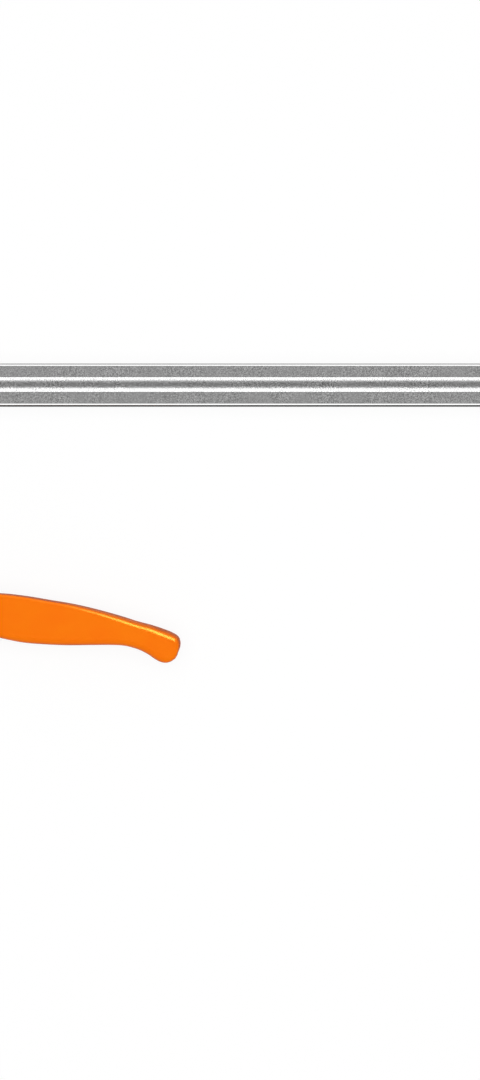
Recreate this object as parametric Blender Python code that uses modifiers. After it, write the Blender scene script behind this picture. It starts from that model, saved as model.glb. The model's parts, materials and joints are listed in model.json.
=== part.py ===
"""Ratchet lever bar clamp, lying on its side with its jaws partly open.

Metres. The origin is the centre of the fixed jaw's face. +X is the opening direction, +Y runs from the
jaws to the rail, and +Z points up from the bench. Angles grow anticlockwise as seen from +Z.
"""

import math

import bmesh
import bpy
from mathutils import Vector

# Clearances, and the accuracy of round forms
GAP = 0.0003
OVERRUN = 0.003
WELD = 0.000001
ROUND_STEPS = 32
PIN_STEPS = 20
FILLET_STEPS = 4
EDGE_STEPS = 1
FILLET_REACH_SHARE = 0.48

# Rivet heads: the share of the radius that is flat, and of the height that is straight-sided
HEAD_FLAT_SHARE = 0.65
HEAD_SIDE_SHARE = 0.35

# Rail
RAIL_LENGTH = 0.545
RAIL_WIDTH = 0.022
RAIL_THICKNESS = 0.0105
RAIL_CORNER_RADIUS = 0.0016
RAIL_GROOVE_WIDTH = 0.0075
RAIL_GROOVE_DEPTH = 0.0012
GROOVE_STEPS = 8
RAIL_INSET = 0.0005
STOP_PIN_RADIUS = 0.003
STOP_PIN_EDGE = 0.0005
STOP_PIN_PROUD = 0.0045
STOP_PIN_FROM_END = 0.008

# Clamp
THROAT_DEPTH = 0.120
OPENING = 0.100

# Jaw pads, the same on both jaws
PAD_RADIUS = 0.0155
CAP_FACE = 0.0025
CAP_WALL = 0.0015
CAP_SKIRT = 0.0055
CAP_EDGE = 0.0008

# Arms
ARM_THICKNESS = 0.016
ARM_WEB = 0.005
ARM_RIM = 0.0055
ARM_EDGE = 0.0015
POCKET_FILLET = 0.005
HOUSING_WALL = 0.008
HOUSING_CHEEK = 0.005
HOUSING_FILLET = 0.005
ARM_BLEND = 0.014

# Fixed arm
FIXED_ARM_WIDTH = 0.032
FIXED_TIP_WIDTH = 0.019
FIXED_TIP_DROP = 0.011
FIXED_TIP_FILLET = 0.0085
FIXED_BOSS_LENGTH = 0.0065
FIXED_BOSS_FLARE = 0.009
FIXED_RIVET_RADIUS = 0.0025
FIXED_RIVET_HEAD_RADIUS = 0.0045
FIXED_RIVET_HEAD = 0.0016
FIXED_RIVET_SPACING = 0.016

# Sliding arm
SLIDE_PLAY = 0.0008
GUIDE_FRONT = 0.036
GUIDE_REAR = 0.006
ARM_FRONT = 0.034
ARM_REAR_TOP = 0.003
ARM_SHOULDER_HEIGHT = 0.082
FORK_THICKNESS = 0.025
FORK_EDGE = 0.002
FORK_BOSS_RADIUS = 0.017
FORK_NOSE_FILLET = 0.012
FORK_FILLET = 0.004
LEVER_SLOT = 0.011
SLOT_START_ANGLE = 112
SLOT_END_ANGLE = 200
SLOT_STEPS = 10
FRICTION_PIN_RADIUS = 0.0025
FRICTION_PIN_FROM_END = 0.0055
BRAKE_LENGTH = 0.022
BRAKE_RECESS = 0.0022
BRAKE_STRIP = 0.0006
BRAKE_WIDTH = 0.007
BRAKE_STEPS = 8

# Plunger, barrel and ball joint
PLUNGER_RADIUS = 0.0075
PLUNGER_BODY = 0.0172
PLUNGER_EDGE = 0.0005
STEM_RADIUS = 0.0045
NECK_RADIUS = 0.0027
NECK_LENGTH = 0.0085
BALL_RADIUS = 0.0045
BALL_STEPS = 10
BARREL_RADIUS = 0.0125
BARREL_EDGE = 0.0015
BARREL_BORE_END = 0.0083
BUSH_LENGTH = 0.010
BUSH_FLANGE_RADIUS = 0.0095
BUSH_FLANGE = 0.0015
SPRING_ROOM = 0.0124
SPRING_WIRE_RADIUS = 0.0007
SPRING_RADIUS = 0.0061
SPRING_CURLS = 5
CURL_POINTS = 9
TILT_ROOM = 0.0025

# Pressure plate, measured from its front along the plunger
PLATE_THICKNESS = 0.0115
PLATE_RIM = 0.0062
PLATE_BACK_RADIUS = 0.0085
PLATE_EDGE = 0.0006
BALL_DEPTH = 0.0062
RING_DISTANCE = 0.0028
RING_THICKNESS = 0.001
RING_INNER_RADIUS = 0.00385
RING_OUTER_RADIUS = 0.0063
RING_MOUTH_ANGLE = 50
PLATE_MOUTH_RADIUS = 0.0054

# Lever head: cam, hub and ratchet
CAM_BASE_RADIUS = 0.0075
CAM_HEIGHT = 0.019
LEVER_OPEN_ANGLE = 60
LEVER_SHUT_ANGLE = 8
CAM_SPARE_ANGLE = 4
CAM_STEPS = 14
HEAD_THICKNESS = 0.0104
RATCHET_TIP_RADIUS = 0.023
RATCHET_TOOTH = 0.0025
RATCHET_START_ANGLE = 68
RATCHET_PITCH_ANGLE = 7.5
RATCHET_TEETH = 9
CAM_END_ANGLE = 270
HUB_END_ANGLE = 320
HUB_STEPS = 6
NECK_END = 0.0257
NECK_TOP = 0.0262
NECK_BOTTOM = 0.0138
PIVOT_RADIUS = 0.004
PIVOT_HEAD_RADIUS = 0.0065
PIVOT_HEAD = 0.002
PIVOT_TAIL = 0.0023
PIVOT_EDGE = 0.0005
BUSH_WALL = 0.0014
CIRCLIP_THICKNESS = 0.001
CIRCLIP_GROOVE_DEPTH = 0.0011
CIRCLIP_RADIUS = 0.0062
CIRCLIP_MOUTH_ANGLE = 70

# Lever grip and the tongue inside it
LEVER_REACH = 0.1508
GRIP_WIDTH = 0.020
GRIP_TIP_EDGE = 0.0010
GRIP_TIP_BULGE = 0.0003
GRIP_SAMPLES = 2
ROUND_LIMIT_SHARE = 0.98
TONGUE_THICKNESS = 0.0064
TONGUE_HALF_HEIGHT = 0.0045
TONGUE_FIRST_STATION = 0
TONGUE_LAST_STATION = 8
GRIP_RIVET_RADIUS = 0.0025
GRIP_RIVET_HEAD_RADIUS = 0.004
GRIP_RIVET_HEAD = 0.0012
GRIP_RIVET_STATIONS = (1, 2)

# The grip's sections from neck to tip. Top x, top y, bottom x and bottom y are shares of LEVER_REACH
# from the pivot. The rest are shares of GRIP_WIDTH: width, then the roundings of the top edges, in the
# outline's plane and across it, and of the bottom edges.
GRIP_SHARES = (
    (0.1724, 0.1760, 0.1724, 0.0960, 0.830, 0.120, 0.070, 0.120),
    (0.2255, 0.1900, 0.2255, 0.0850, 0.875, 0.130, 0.070, 0.130),
    (0.2980, 0.1975, 0.2950, 0.0655, 0.930, 0.140, 0.065, 0.140),
    (0.3790, 0.1963, 0.3780, 0.0458, 0.975, 0.140, 0.065, 0.150),
    (0.4620, 0.1871, 0.4575, 0.0297, 1.000, 0.140, 0.065, 0.160),
    (0.5450, 0.1733, 0.5370, 0.0229, 1.000, 0.140, 0.070, 0.165),
    (0.6270, 0.1595, 0.6135, 0.0199, 0.995, 0.140, 0.085, 0.165),
    (0.7100, 0.1406, 0.6900, 0.0205, 0.985, 0.145, 0.125, 0.165),
    (0.7930, 0.1178, 0.7625, 0.0208, 0.970, 0.172, 0.165, 0.165),
    (0.8490, 0.1002, 0.8090, 0.0180, 0.955, 0.190, 0.185, 0.165),
    (0.9020, 0.0863, 0.8520, 0.0068, 0.940, 0.220, 0.215, 0.165),
    (0.9416, 0.0733, 0.8850, -0.0085, 0.930, 0.250, 0.240, 0.165),
    (0.9720, 0.0610, 0.9120, -0.0268, 0.920, 0.245, 0.235, 0.160),
    (0.9922, 0.0474, 0.9290, -0.0362, 0.910, 0.205, 0.190, 0.150),
    (0.9993, 0.0305, 0.9450, -0.0404, 0.900, 0.165, 0.155, 0.135),
    (0.9992, 0.0140, 0.9590, -0.0396, 0.890, 0.130, 0.130, 0.120),
    (0.9948, -0.0008, 0.9715, -0.0348, 0.870, 0.100, 0.110, 0.100),
    (0.9898, -0.0125, 0.9800, -0.0285, 0.810, 0.070, 0.090, 0.080),
)

# Pawl
PAWL_X = 0.014
PAWL_Y = 0.044
PAWL_CONTACT_ANGLE = 80
PAWL_HUB_RADIUS = 0.007
PAWL_THICKNESS = 0.0056
PAWL_NOSE_LENGTH = 0.0055
PAWL_NOSE_ANGLE = 32
PAWL_FACE_LENGTH = 0.005
PAWL_BELLY_ANGLE = -30
PAWL_TAIL_ANGLE = -8
PAWL_BACK_START_ANGLE = 70
PAWL_BACK_END_ANGLE = 190
PAWL_STEPS = 8
PAWL_PIN_RADIUS = 0.0025
PAWL_PIN_HEAD_RADIUS = 0.0042
PAWL_PIN_HEAD = 0.0014
PAWL_POCKET = 0.009
PAWL_TAIL = 0.023
PAWL_TAIL_RISE = 0.0035
PAWL_TAIL_HEIGHT = 0.0045
PAWL_TAB_LENGTH = 0.011
PAWL_TAB_WIDTH = 0.016
PAWL_TAB_THICKNESS = 0.003
PAWL_TAB_EDGE = 0.0008
PAWL_TAB_GROOVES = 4
PAWL_TAB_GROOVE_PITCH = 0.0021
PAWL_TAB_GROOVE_WIDTH = 0.0009
PAWL_TAB_GROOVE_DEPTH = 0.0005
PAWL_SPRING_WIRE_RADIUS = 0.0005
PAWL_SPRING_RADIUS = 0.0043
PAWL_SPRING_PITCH = 0.00145
PAWL_SPRING_TURNS = 2.25

# Places that follow from the sizes
RAIL_CENTRE_Y = THROAT_DEPTH + RAIL_WIDTH / 2
PAD_STACK = CAP_FACE + GAP
FIXED_ARM_FACE = -(PAD_STACK + FIXED_BOSS_LENGTH)
FIXED_ARM_REAR = FIXED_ARM_FACE - FIXED_ARM_WIDTH
RAIL_START = FIXED_ARM_REAR + RAIL_INSET
PAD_SEAT_RADIUS = PAD_RADIUS - CAP_WALL - GAP

PLUNGER_REAR = -(CAM_HEIGHT + GAP)
PLUNGER_SHOULDER = PLUNGER_REAR - PLUNGER_BODY
BUSH_REAR = PLUNGER_SHOULDER - SPRING_ROOM
BARREL_FRONT = BUSH_REAR - BUSH_LENGTH
RETRACTION = CAM_BASE_RADIUS * math.radians(LEVER_OPEN_ANGLE)
PLATE_BACK = BARREL_FRONT - RETRACTION - TILT_ROOM
PLATE_FRONT = PLATE_BACK - PLATE_THICKNESS
BALL_X = PLATE_FRONT + BALL_DEPTH
MOVING_FACE = PLATE_FRONT - PAD_STACK
ARM_X = OPENING - MOVING_FACE

PIVOT_Y = -CAM_BASE_RADIUS
BORE_RADIUS = PLUNGER_RADIUS + GAP
RATCHET_ROOT_RADIUS = RATCHET_TIP_RADIUS - RATCHET_TOOTH
SLOT_RADIUS = RATCHET_TIP_RADIUS + RATCHET_TOOTH / 2
FORK_REAR = PAWL_X + PAWL_POCKET
FORK_TOP = PIVOT_Y + PAWL_Y + 2 * PAWL_POCKET
GUIDE_HALF_THICKNESS = RAIL_THICKNESS / 2 + GAP + HOUSING_CHEEK
PAWL_HOLE_RADIUS = PAWL_PIN_RADIUS + GAP

PARTS = "lever_bar_clamp"
CUTTERS = "clamp_cutters"


def clear_scene():
    for found in list(bpy.data.objects):
        bpy.data.objects.remove(found, do_unlink=True)
    for name in (PARTS, CUTTERS):
        collection = bpy.data.collections.new(name)
        bpy.context.scene.collection.children.link(collection)


def material(name, colour, roughness, metallic):
    made = bpy.data.materials.new(name)
    made.use_nodes = True
    shader = made.node_tree.nodes["Principled BSDF"]
    shader.inputs["Base Color"].default_value = (*colour, 1)
    shader.inputs["Roughness"].default_value = roughness
    shader.inputs["Metallic"].default_value = metallic
    made.diffuse_color = (*colour, 1)
    return made


def frame_empty(name, place, parent=None):
    """An empty on a joint's axis, which carries the pieces that move with the joint."""
    empty = bpy.data.objects.new(name, None)
    bpy.data.collections[PARTS].objects.link(empty)
    empty.parent = parent
    empty.location = place
    return empty


def add_object(name, mesh, parent=None, place=(0, 0, 0), turn=(0, 0, 0)):
    made = bpy.data.objects.new(name, mesh)
    bpy.data.collections[PARTS].objects.link(made)
    made.parent = parent
    made.location = place
    made.rotation_euler = turn
    return made


def finish_part(part, finish):
    part.data.materials.append(finish)
    part.data.shade_smooth()
    part.data.set_sharp_from_angle(angle=math.radians(35))
    return part


def combine(target, tool, operation):
    """A Boolean on target. The tool becomes a hidden helper in the cutters' collection."""
    modifier = target.modifiers.new(tool.name, "BOOLEAN")
    modifier.operation = operation
    modifier.solver = "EXACT"
    modifier.object = tool
    if tool.name not in bpy.data.collections[CUTTERS].objects:
        bpy.data.collections[CUTTERS].objects.link(tool)
        bpy.data.collections[PARTS].objects.unlink(tool)
    tool.hide_render = True
    tool.display_type = "WIRE"


def cut(target, *tools):
    for tool in tools:
        combine(target, tool, "DIFFERENCE")


def join(target, *tools):
    for tool in tools:
        combine(target, tool, "UNION")


def welded(mesh):
    work = bmesh.new()
    work.from_mesh(mesh)
    bmesh.ops.remove_doubles(work, verts=work.verts, dist=WELD)
    bmesh.ops.recalc_face_normals(work, faces=work.faces)
    work.to_mesh(mesh)
    work.free()
    return mesh


def polar(radius, degrees, centre=(0, 0)):
    angle = math.radians(degrees)
    return (centre[0] + radius * math.cos(angle), centre[1] + radius * math.sin(angle))


def arc(centre, radius, start, end, steps):
    return [polar(radius, start + (end - start) * i / steps, centre) for i in range(steps + 1)]


def filleted(corners):
    """A closed outline through (x, y, radius) corners, each rounded by an arc where its sides allow."""
    points = []
    for i, (x, y, radius) in enumerate(corners):
        here = Vector((x, y))
        back = Vector(corners[i - 1][:2]) - here
        ahead = Vector(corners[(i + 1) % len(corners)][:2]) - here
        half = back.angle(ahead) / 2
        longest = min(back.length, ahead.length) * FILLET_REACH_SHARE
        reach = min(radius / math.tan(half), longest)
        if reach <= WELD:
            points.append((x, y))
            continue
        back.normalize()
        ahead.normalize()
        centre = here + (back + ahead).normalized() * (reach / math.cos(half))
        start = here + back * reach - centre
        sweep = start.angle_signed(here + ahead * reach - centre)
        for step in range(FILLET_STEPS + 1):
            turned_by = -sweep * step / FILLET_STEPS
            spoke = Vector(
                (
                    start.x * math.cos(turned_by) - start.y * math.sin(turned_by),
                    start.x * math.sin(turned_by) + start.y * math.cos(turned_by),
                )
            )
            points.append(tuple(centre + spoke))
    return points


def curve_to_mesh(name, curve):
    """The evaluated curve as a mesh whose caps are welded to its sides."""
    guide = bpy.data.objects.new(name + "_guide", curve)
    bpy.data.collections[CUTTERS].objects.link(guide)
    bpy.context.view_layer.update()
    evaluated = guide.evaluated_get(bpy.context.evaluated_depsgraph_get())
    mesh = bpy.data.meshes.new_from_object(evaluated)
    mesh.name = name
    bpy.data.objects.remove(guide)
    return welded(mesh)


def plate(name, outline, thickness, edge=0.0, grow=0.0, **placing):
    """A flat outline in XY, extruded evenly to both sides of its plane, with rounded edges."""
    curve = bpy.data.curves.new(name, "CURVE")
    curve.dimensions = "2D"
    curve.fill_mode = "BOTH"
    curve.extrude = thickness / 2 - edge
    curve.bevel_depth = edge
    curve.bevel_resolution = EDGE_STEPS
    curve.offset = grow - edge
    spline = curve.splines.new("POLY")
    spline.points.add(len(outline) - 1)
    for point, (x, y) in zip(spline.points, outline):
        point.co = (x, y, 0, 1)
    spline.use_cyclic_u = True
    return add_object(name, curve_to_mesh(name, curve), **placing)


def turned(name, profile, steps=ROUND_STEPS, closed=False, along_x=True, **placing):
    """A lathe-turned piece. The profile holds (radius, height) points down its outer side, and the
    height axis lies along +X, or along +Z for a pin across the clamp."""
    mesh = bpy.data.meshes.new(name)
    edges = [(i, i + 1) for i in range(len(profile) - 1)]
    if closed:
        edges.append((len(profile) - 1, 0))
    mesh.from_pydata([(radius, 0, height) for radius, height in profile], edges, [])
    made = add_object(name, mesh, turn=(0, math.radians(90), 0) if along_x else (0, 0, 0), **placing)
    screw = made.modifiers.new("turn", "SCREW")
    screw.axis = "Z"
    screw.angle = math.radians(360)
    screw.steps = steps
    screw.render_steps = steps
    screw.use_merge_vertices = True
    screw.merge_threshold = WELD
    screw.use_smooth_shade = True
    return made


def rod(name, radius, low, high, steps=PIN_STEPS, **placing):
    return turned(name, [(0, high), (radius, high), (radius, low), (0, low)], steps, **placing)


def box(name, low, high, **placing):
    mesh = bpy.data.meshes.new(name)
    work = bmesh.new()
    bmesh.ops.create_cube(work, size=1)
    for vertex in work.verts:
        for axis in range(3):
            vertex.co[axis] = high[axis] if vertex.co[axis] > 0 else low[axis]
    work.to_mesh(mesh)
    work.free()
    return add_object(name, mesh, **placing)


def tube(name, points, radius, steps=1, **placing):
    """A wire of one unbroken tube along a list of points."""
    curve = bpy.data.curves.new(name, "CURVE")
    curve.dimensions = "3D"
    curve.bevel_depth = radius
    curve.bevel_resolution = steps
    curve.use_fill_caps = True
    spline = curve.splines.new("POLY")
    spline.points.add(len(points) - 1)
    for point, place in zip(spline.points, points):
        point.co = (*place, 1)
    return add_object(name, curve_to_mesh(name, curve), **placing)


def rail_outline():
    """Half the section from a land's corner to the next face, turned round to make the whole."""
    half_width = RAIL_WIDTH / 2
    half_thickness = RAIL_THICKNESS / 2
    mouth = RAIL_GROOVE_WIDTH / 2
    groove_radius = (mouth**2 + RAIL_GROOVE_DEPTH**2) / (2 * RAIL_GROOVE_DEPTH)
    groove_centre = half_thickness - RAIL_GROOVE_DEPTH + groove_radius
    groove_angle = math.degrees(math.asin(mouth / groove_radius))
    corner = (half_width - RAIL_CORNER_RADIUS, half_thickness - RAIL_CORNER_RADIUS)
    points = arc((corner[0], -corner[1]), RAIL_CORNER_RADIUS, -90, 0, FILLET_STEPS)
    points += arc(corner, RAIL_CORNER_RADIUS, 0, 90, FILLET_STEPS)
    points += arc((0, groove_centre), groove_radius, -90 + groove_angle, -90 - groove_angle, GROOVE_STEPS)
    return points + [(-x, -y) for x, y in points]


def make_rail(finish):
    """Local X is the rail's width and local Z its length."""
    rail = plate(
        "rail",
        rail_outline(),
        RAIL_LENGTH,
        place=(RAIL_START + RAIL_LENGTH / 2, RAIL_CENTRE_Y, 0),
        turn=(math.radians(90), 0, math.radians(90)),
    )
    for name, x in fixed_rivet_places():
        hole = rod(
            name + "_rail_hole",
            FIXED_RIVET_RADIUS + GAP,
            -RAIL_THICKNESS,
            RAIL_THICKNESS,
            place=(x, RAIL_CENTRE_Y, 0),
            along_x=False,
        )
        cut(rail, hole)
    hole = rod(
        "stop_pin_hole",
        STOP_PIN_RADIUS + GAP,
        -RAIL_THICKNESS,
        RAIL_THICKNESS,
        place=stop_pin_place(),
        along_x=False,
    )
    cut(rail, hole)
    return finish_part(rail, finish)


def stop_pin_place():
    return (RAIL_START + RAIL_LENGTH - STOP_PIN_FROM_END, RAIL_CENTRE_Y, 0)


def make_stop_pin(finish):
    reach = RAIL_THICKNESS / 2 + STOP_PIN_PROUD
    profile = [(0, reach), (STOP_PIN_RADIUS - STOP_PIN_EDGE, reach), (STOP_PIN_RADIUS, reach - STOP_PIN_EDGE)]
    profile += [(radius, -height) for radius, height in reversed(profile)]
    pin = turned("rail_stop_pin", profile, PIN_STEPS, place=stop_pin_place(), along_x=False)
    return finish_part(pin, finish)


def fixed_rivet_places():
    middle = (FIXED_ARM_FACE + FIXED_ARM_REAR) / 2
    return (
        ("fixed_arm_rivet_front", middle + FIXED_RIVET_SPACING / 2),
        ("fixed_arm_rivet_rear", middle - FIXED_RIVET_SPACING / 2),
    )


def slope_x(low, high, y):
    """The x at height y on the straight line through two (x, y) points."""
    return low[0] + (high[0] - low[0]) * (y - low[1]) / (high[1] - low[1])


def make_fixed_arm(finish):
    """I-section arm: a rail socket at its root, and at its tip a flared round seat for the jaw cap."""
    top = THROAT_DEPTH + RAIL_WIDTH + HOUSING_WALL
    housing_low = THROAT_DEPTH - HOUSING_WALL
    blade_top = THROAT_DEPTH - HOUSING_WALL / 2
    tip_rear = FIXED_ARM_FACE - FIXED_TIP_WIDTH
    housing = filleted(
        [
            (FIXED_ARM_FACE, housing_low, HOUSING_FILLET),
            (FIXED_ARM_FACE, top, HOUSING_FILLET),
            (FIXED_ARM_REAR, top, HOUSING_FILLET),
            (FIXED_ARM_REAR, housing_low, HOUSING_FILLET),
        ]
    )
    arm = plate("fixed_arm", housing, 2 * GUIDE_HALF_THICKNESS, edge=ARM_EDGE)
    blade_outline = filleted(
        [
            (tip_rear, -FIXED_TIP_DROP, FIXED_TIP_FILLET),
            (FIXED_ARM_FACE, -FIXED_TIP_DROP, FIXED_TIP_FILLET),
            (FIXED_ARM_FACE, blade_top, 0),
            (FIXED_ARM_REAR, blade_top, 0),
            (FIXED_ARM_REAR, housing_low, ARM_BLEND),
        ]
    )
    blade = plate("fixed_arm_blade", blade_outline, ARM_THICKNESS, edge=ARM_EDGE)
    boss = turned(
        "fixed_arm_boss",
        [
            (0, FIXED_BOSS_LENGTH),
            (PAD_SEAT_RADIUS, FIXED_BOSS_LENGTH),
            (PAD_SEAT_RADIUS, 0),
            (ARM_THICKNESS / 2 - ARM_EDGE, -FIXED_BOSS_FLARE),
            (0, -FIXED_BOSS_FLARE),
        ],
        place=(FIXED_ARM_FACE, 0, 0),
    )
    join(arm, blade, boss)
    socket = box(
        "fixed_arm_socket",
        (FIXED_ARM_REAR - OVERRUN, THROAT_DEPTH - GAP, -RAIL_THICKNESS / 2 - GAP),
        (FIXED_ARM_FACE + OVERRUN, THROAT_DEPTH + RAIL_WIDTH + GAP, RAIL_THICKNESS / 2 + GAP),
    )
    cut(arm, socket)
    pocket_low = PAD_SEAT_RADIUS + ARM_RIM
    pocket_high = housing_low - ARM_RIM
    rear_low = (tip_rear, -FIXED_TIP_DROP)
    rear_high = (FIXED_ARM_REAR, housing_low)
    outline = filleted(
        [
            (slope_x(rear_low, rear_high, pocket_low) + ARM_RIM, pocket_low, POCKET_FILLET),
            (FIXED_ARM_FACE - ARM_RIM, pocket_low, POCKET_FILLET),
            (FIXED_ARM_FACE - ARM_RIM, pocket_high, POCKET_FILLET),
            (slope_x(rear_low, rear_high, pocket_high) + ARM_RIM, pocket_high, POCKET_FILLET),
        ]
    )
    cut(arm, *pockets("fixed_arm_pocket", outline))
    for name, x in fixed_rivet_places():
        hole = rod(
            name + "_hole",
            FIXED_RIVET_RADIUS + GAP,
            -GUIDE_HALF_THICKNESS - OVERRUN,
            GUIDE_HALF_THICKNESS + OVERRUN,
            place=(x, RAIL_CENTRE_Y, 0),
            along_x=False,
        )
        cut(arm, hole)
    return finish_part(arm, finish)


def pockets(name, outline, **placing):
    """Two cutters that leave the arm's web between them."""
    depth = ARM_THICKNESS
    made = []
    for side, sign in (("top", 1), ("bottom", -1)):
        cutter = plate(name + "_" + side, outline, depth, edge=ARM_EDGE, **placing)
        cutter.location.z += sign * (ARM_WEB / 2 + depth / 2)
        made.append(cutter)
    return made


def make_fixed_rivets(finish):
    face = GUIDE_HALF_THICKNESS + GAP
    for name, x in fixed_rivet_places():
        head = face + FIXED_RIVET_HEAD
        profile = [
            (0, head),
            (FIXED_RIVET_HEAD_RADIUS * HEAD_FLAT_SHARE, head),
            (FIXED_RIVET_HEAD_RADIUS, face + FIXED_RIVET_HEAD * HEAD_SIDE_SHARE),
            (FIXED_RIVET_HEAD_RADIUS, face),
            (FIXED_RIVET_RADIUS, face),
        ]
        profile += [(radius, -height) for radius, height in reversed(profile)]
        rivet = turned(name, profile, PIN_STEPS, place=(x, RAIL_CENTRE_Y, 0), along_x=False)
        finish_part(rivet, finish)


def make_cap(name, finish, facing, **placing):
    """A round protective cap. Facing is 1 where its face looks along +X, and -1 where it looks back."""
    inner = PAD_RADIUS - CAP_WALL
    depth = CAP_FACE + CAP_SKIRT
    profile = [
        (0, 0),
        (PAD_RADIUS - CAP_EDGE, 0),
        (PAD_RADIUS, -CAP_EDGE),
        (PAD_RADIUS, -depth),
        (inner, -depth),
        (inner, -CAP_FACE),
        (0, -CAP_FACE),
    ]
    cap = turned(name, profile, **placing)
    cap.rotation_euler.y *= facing
    return finish_part(cap, finish)


def arm_outline():
    """The sliding arm's blade between fork and rail guide, on the side away from the jaw drawn in."""
    low = PIVOT_Y + FORK_BOSS_RADIUS
    shoulder_low = FORK_TOP - FORK_FILLET
    blade_top = THROAT_DEPTH - HOUSING_WALL / 2
    return filleted(
        [
            (-ARM_FRONT, low, 0),
            (FORK_REAR - ARM_EDGE, low, 0),
            (FORK_REAR - ARM_EDGE, shoulder_low, ARM_BLEND),
            (ARM_REAR_TOP, ARM_SHOULDER_HEIGHT, ARM_BLEND),
            (ARM_REAR_TOP, blade_top, 0),
            (-ARM_FRONT, blade_top, 0),
        ]
    )


def fork_outline():
    """The two cheeks as seen from above: the boss round the lever's pivot, the barrel's flank, and the
    cheek that carries the pawl's pin."""
    boss_low = PIVOT_Y - FORK_BOSS_RADIUS
    return filleted(
        [
            (-ARM_FRONT, -BARREL_RADIUS, FORK_FILLET),
            (-FORK_BOSS_RADIUS - FORK_FILLET, -BARREL_RADIUS, FORK_FILLET),
            (-FORK_BOSS_RADIUS + FORK_FILLET / 2, boss_low, FORK_NOSE_FILLET),
            (FORK_BOSS_RADIUS, boss_low, FORK_BOSS_RADIUS),
            (FORK_BOSS_RADIUS, -PIVOT_Y + FORK_BOSS_RADIUS / 2, FORK_FILLET),
            (FORK_REAR, PIVOT_Y + PAWL_Y - PAWL_POCKET, FORK_FILLET),
            (FORK_REAR, FORK_TOP, FORK_FILLET),
            (-ARM_FRONT, FORK_TOP, FORK_FILLET),
        ]
    )


def lever_slot_outline():
    """Room between the cheeks for the lever's head and the pawl. It is open below and behind."""
    far_right = FORK_REAR + OVERRUN
    far_low = PIVOT_Y - FORK_BOSS_RADIUS - OVERRUN
    pocket_top = PIVOT_Y + PAWL_Y + PAWL_POCKET
    pivot = (0, PIVOT_Y)
    outline = [
        (far_right, far_low),
        (far_right, pocket_top),
        (PAWL_X - PAWL_POCKET, pocket_top),
        (-PAWL_POCKET, PIVOT_Y + PAWL_Y - 2 * PAWL_POCKET),
    ]
    outline += arc(pivot, SLOT_RADIUS, SLOT_START_ANGLE, SLOT_END_ANGLE, SLOT_STEPS)
    outline.append((outline[-1][0], far_low))
    return outline


def friction_pin_places():
    """Front pin above the rail's outer edge, rear pin below its inner edge, each a gap away."""
    outer = THROAT_DEPTH + RAIL_WIDTH + GAP + FRICTION_PIN_RADIUS
    inner = THROAT_DEPTH - GAP - FRICTION_PIN_RADIUS
    return (
        ("friction_pin_front", -GUIDE_FRONT + FRICTION_PIN_FROM_END, outer),
        ("friction_pin_rear", GUIDE_REAR - FRICTION_PIN_FROM_END, inner),
    )


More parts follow.
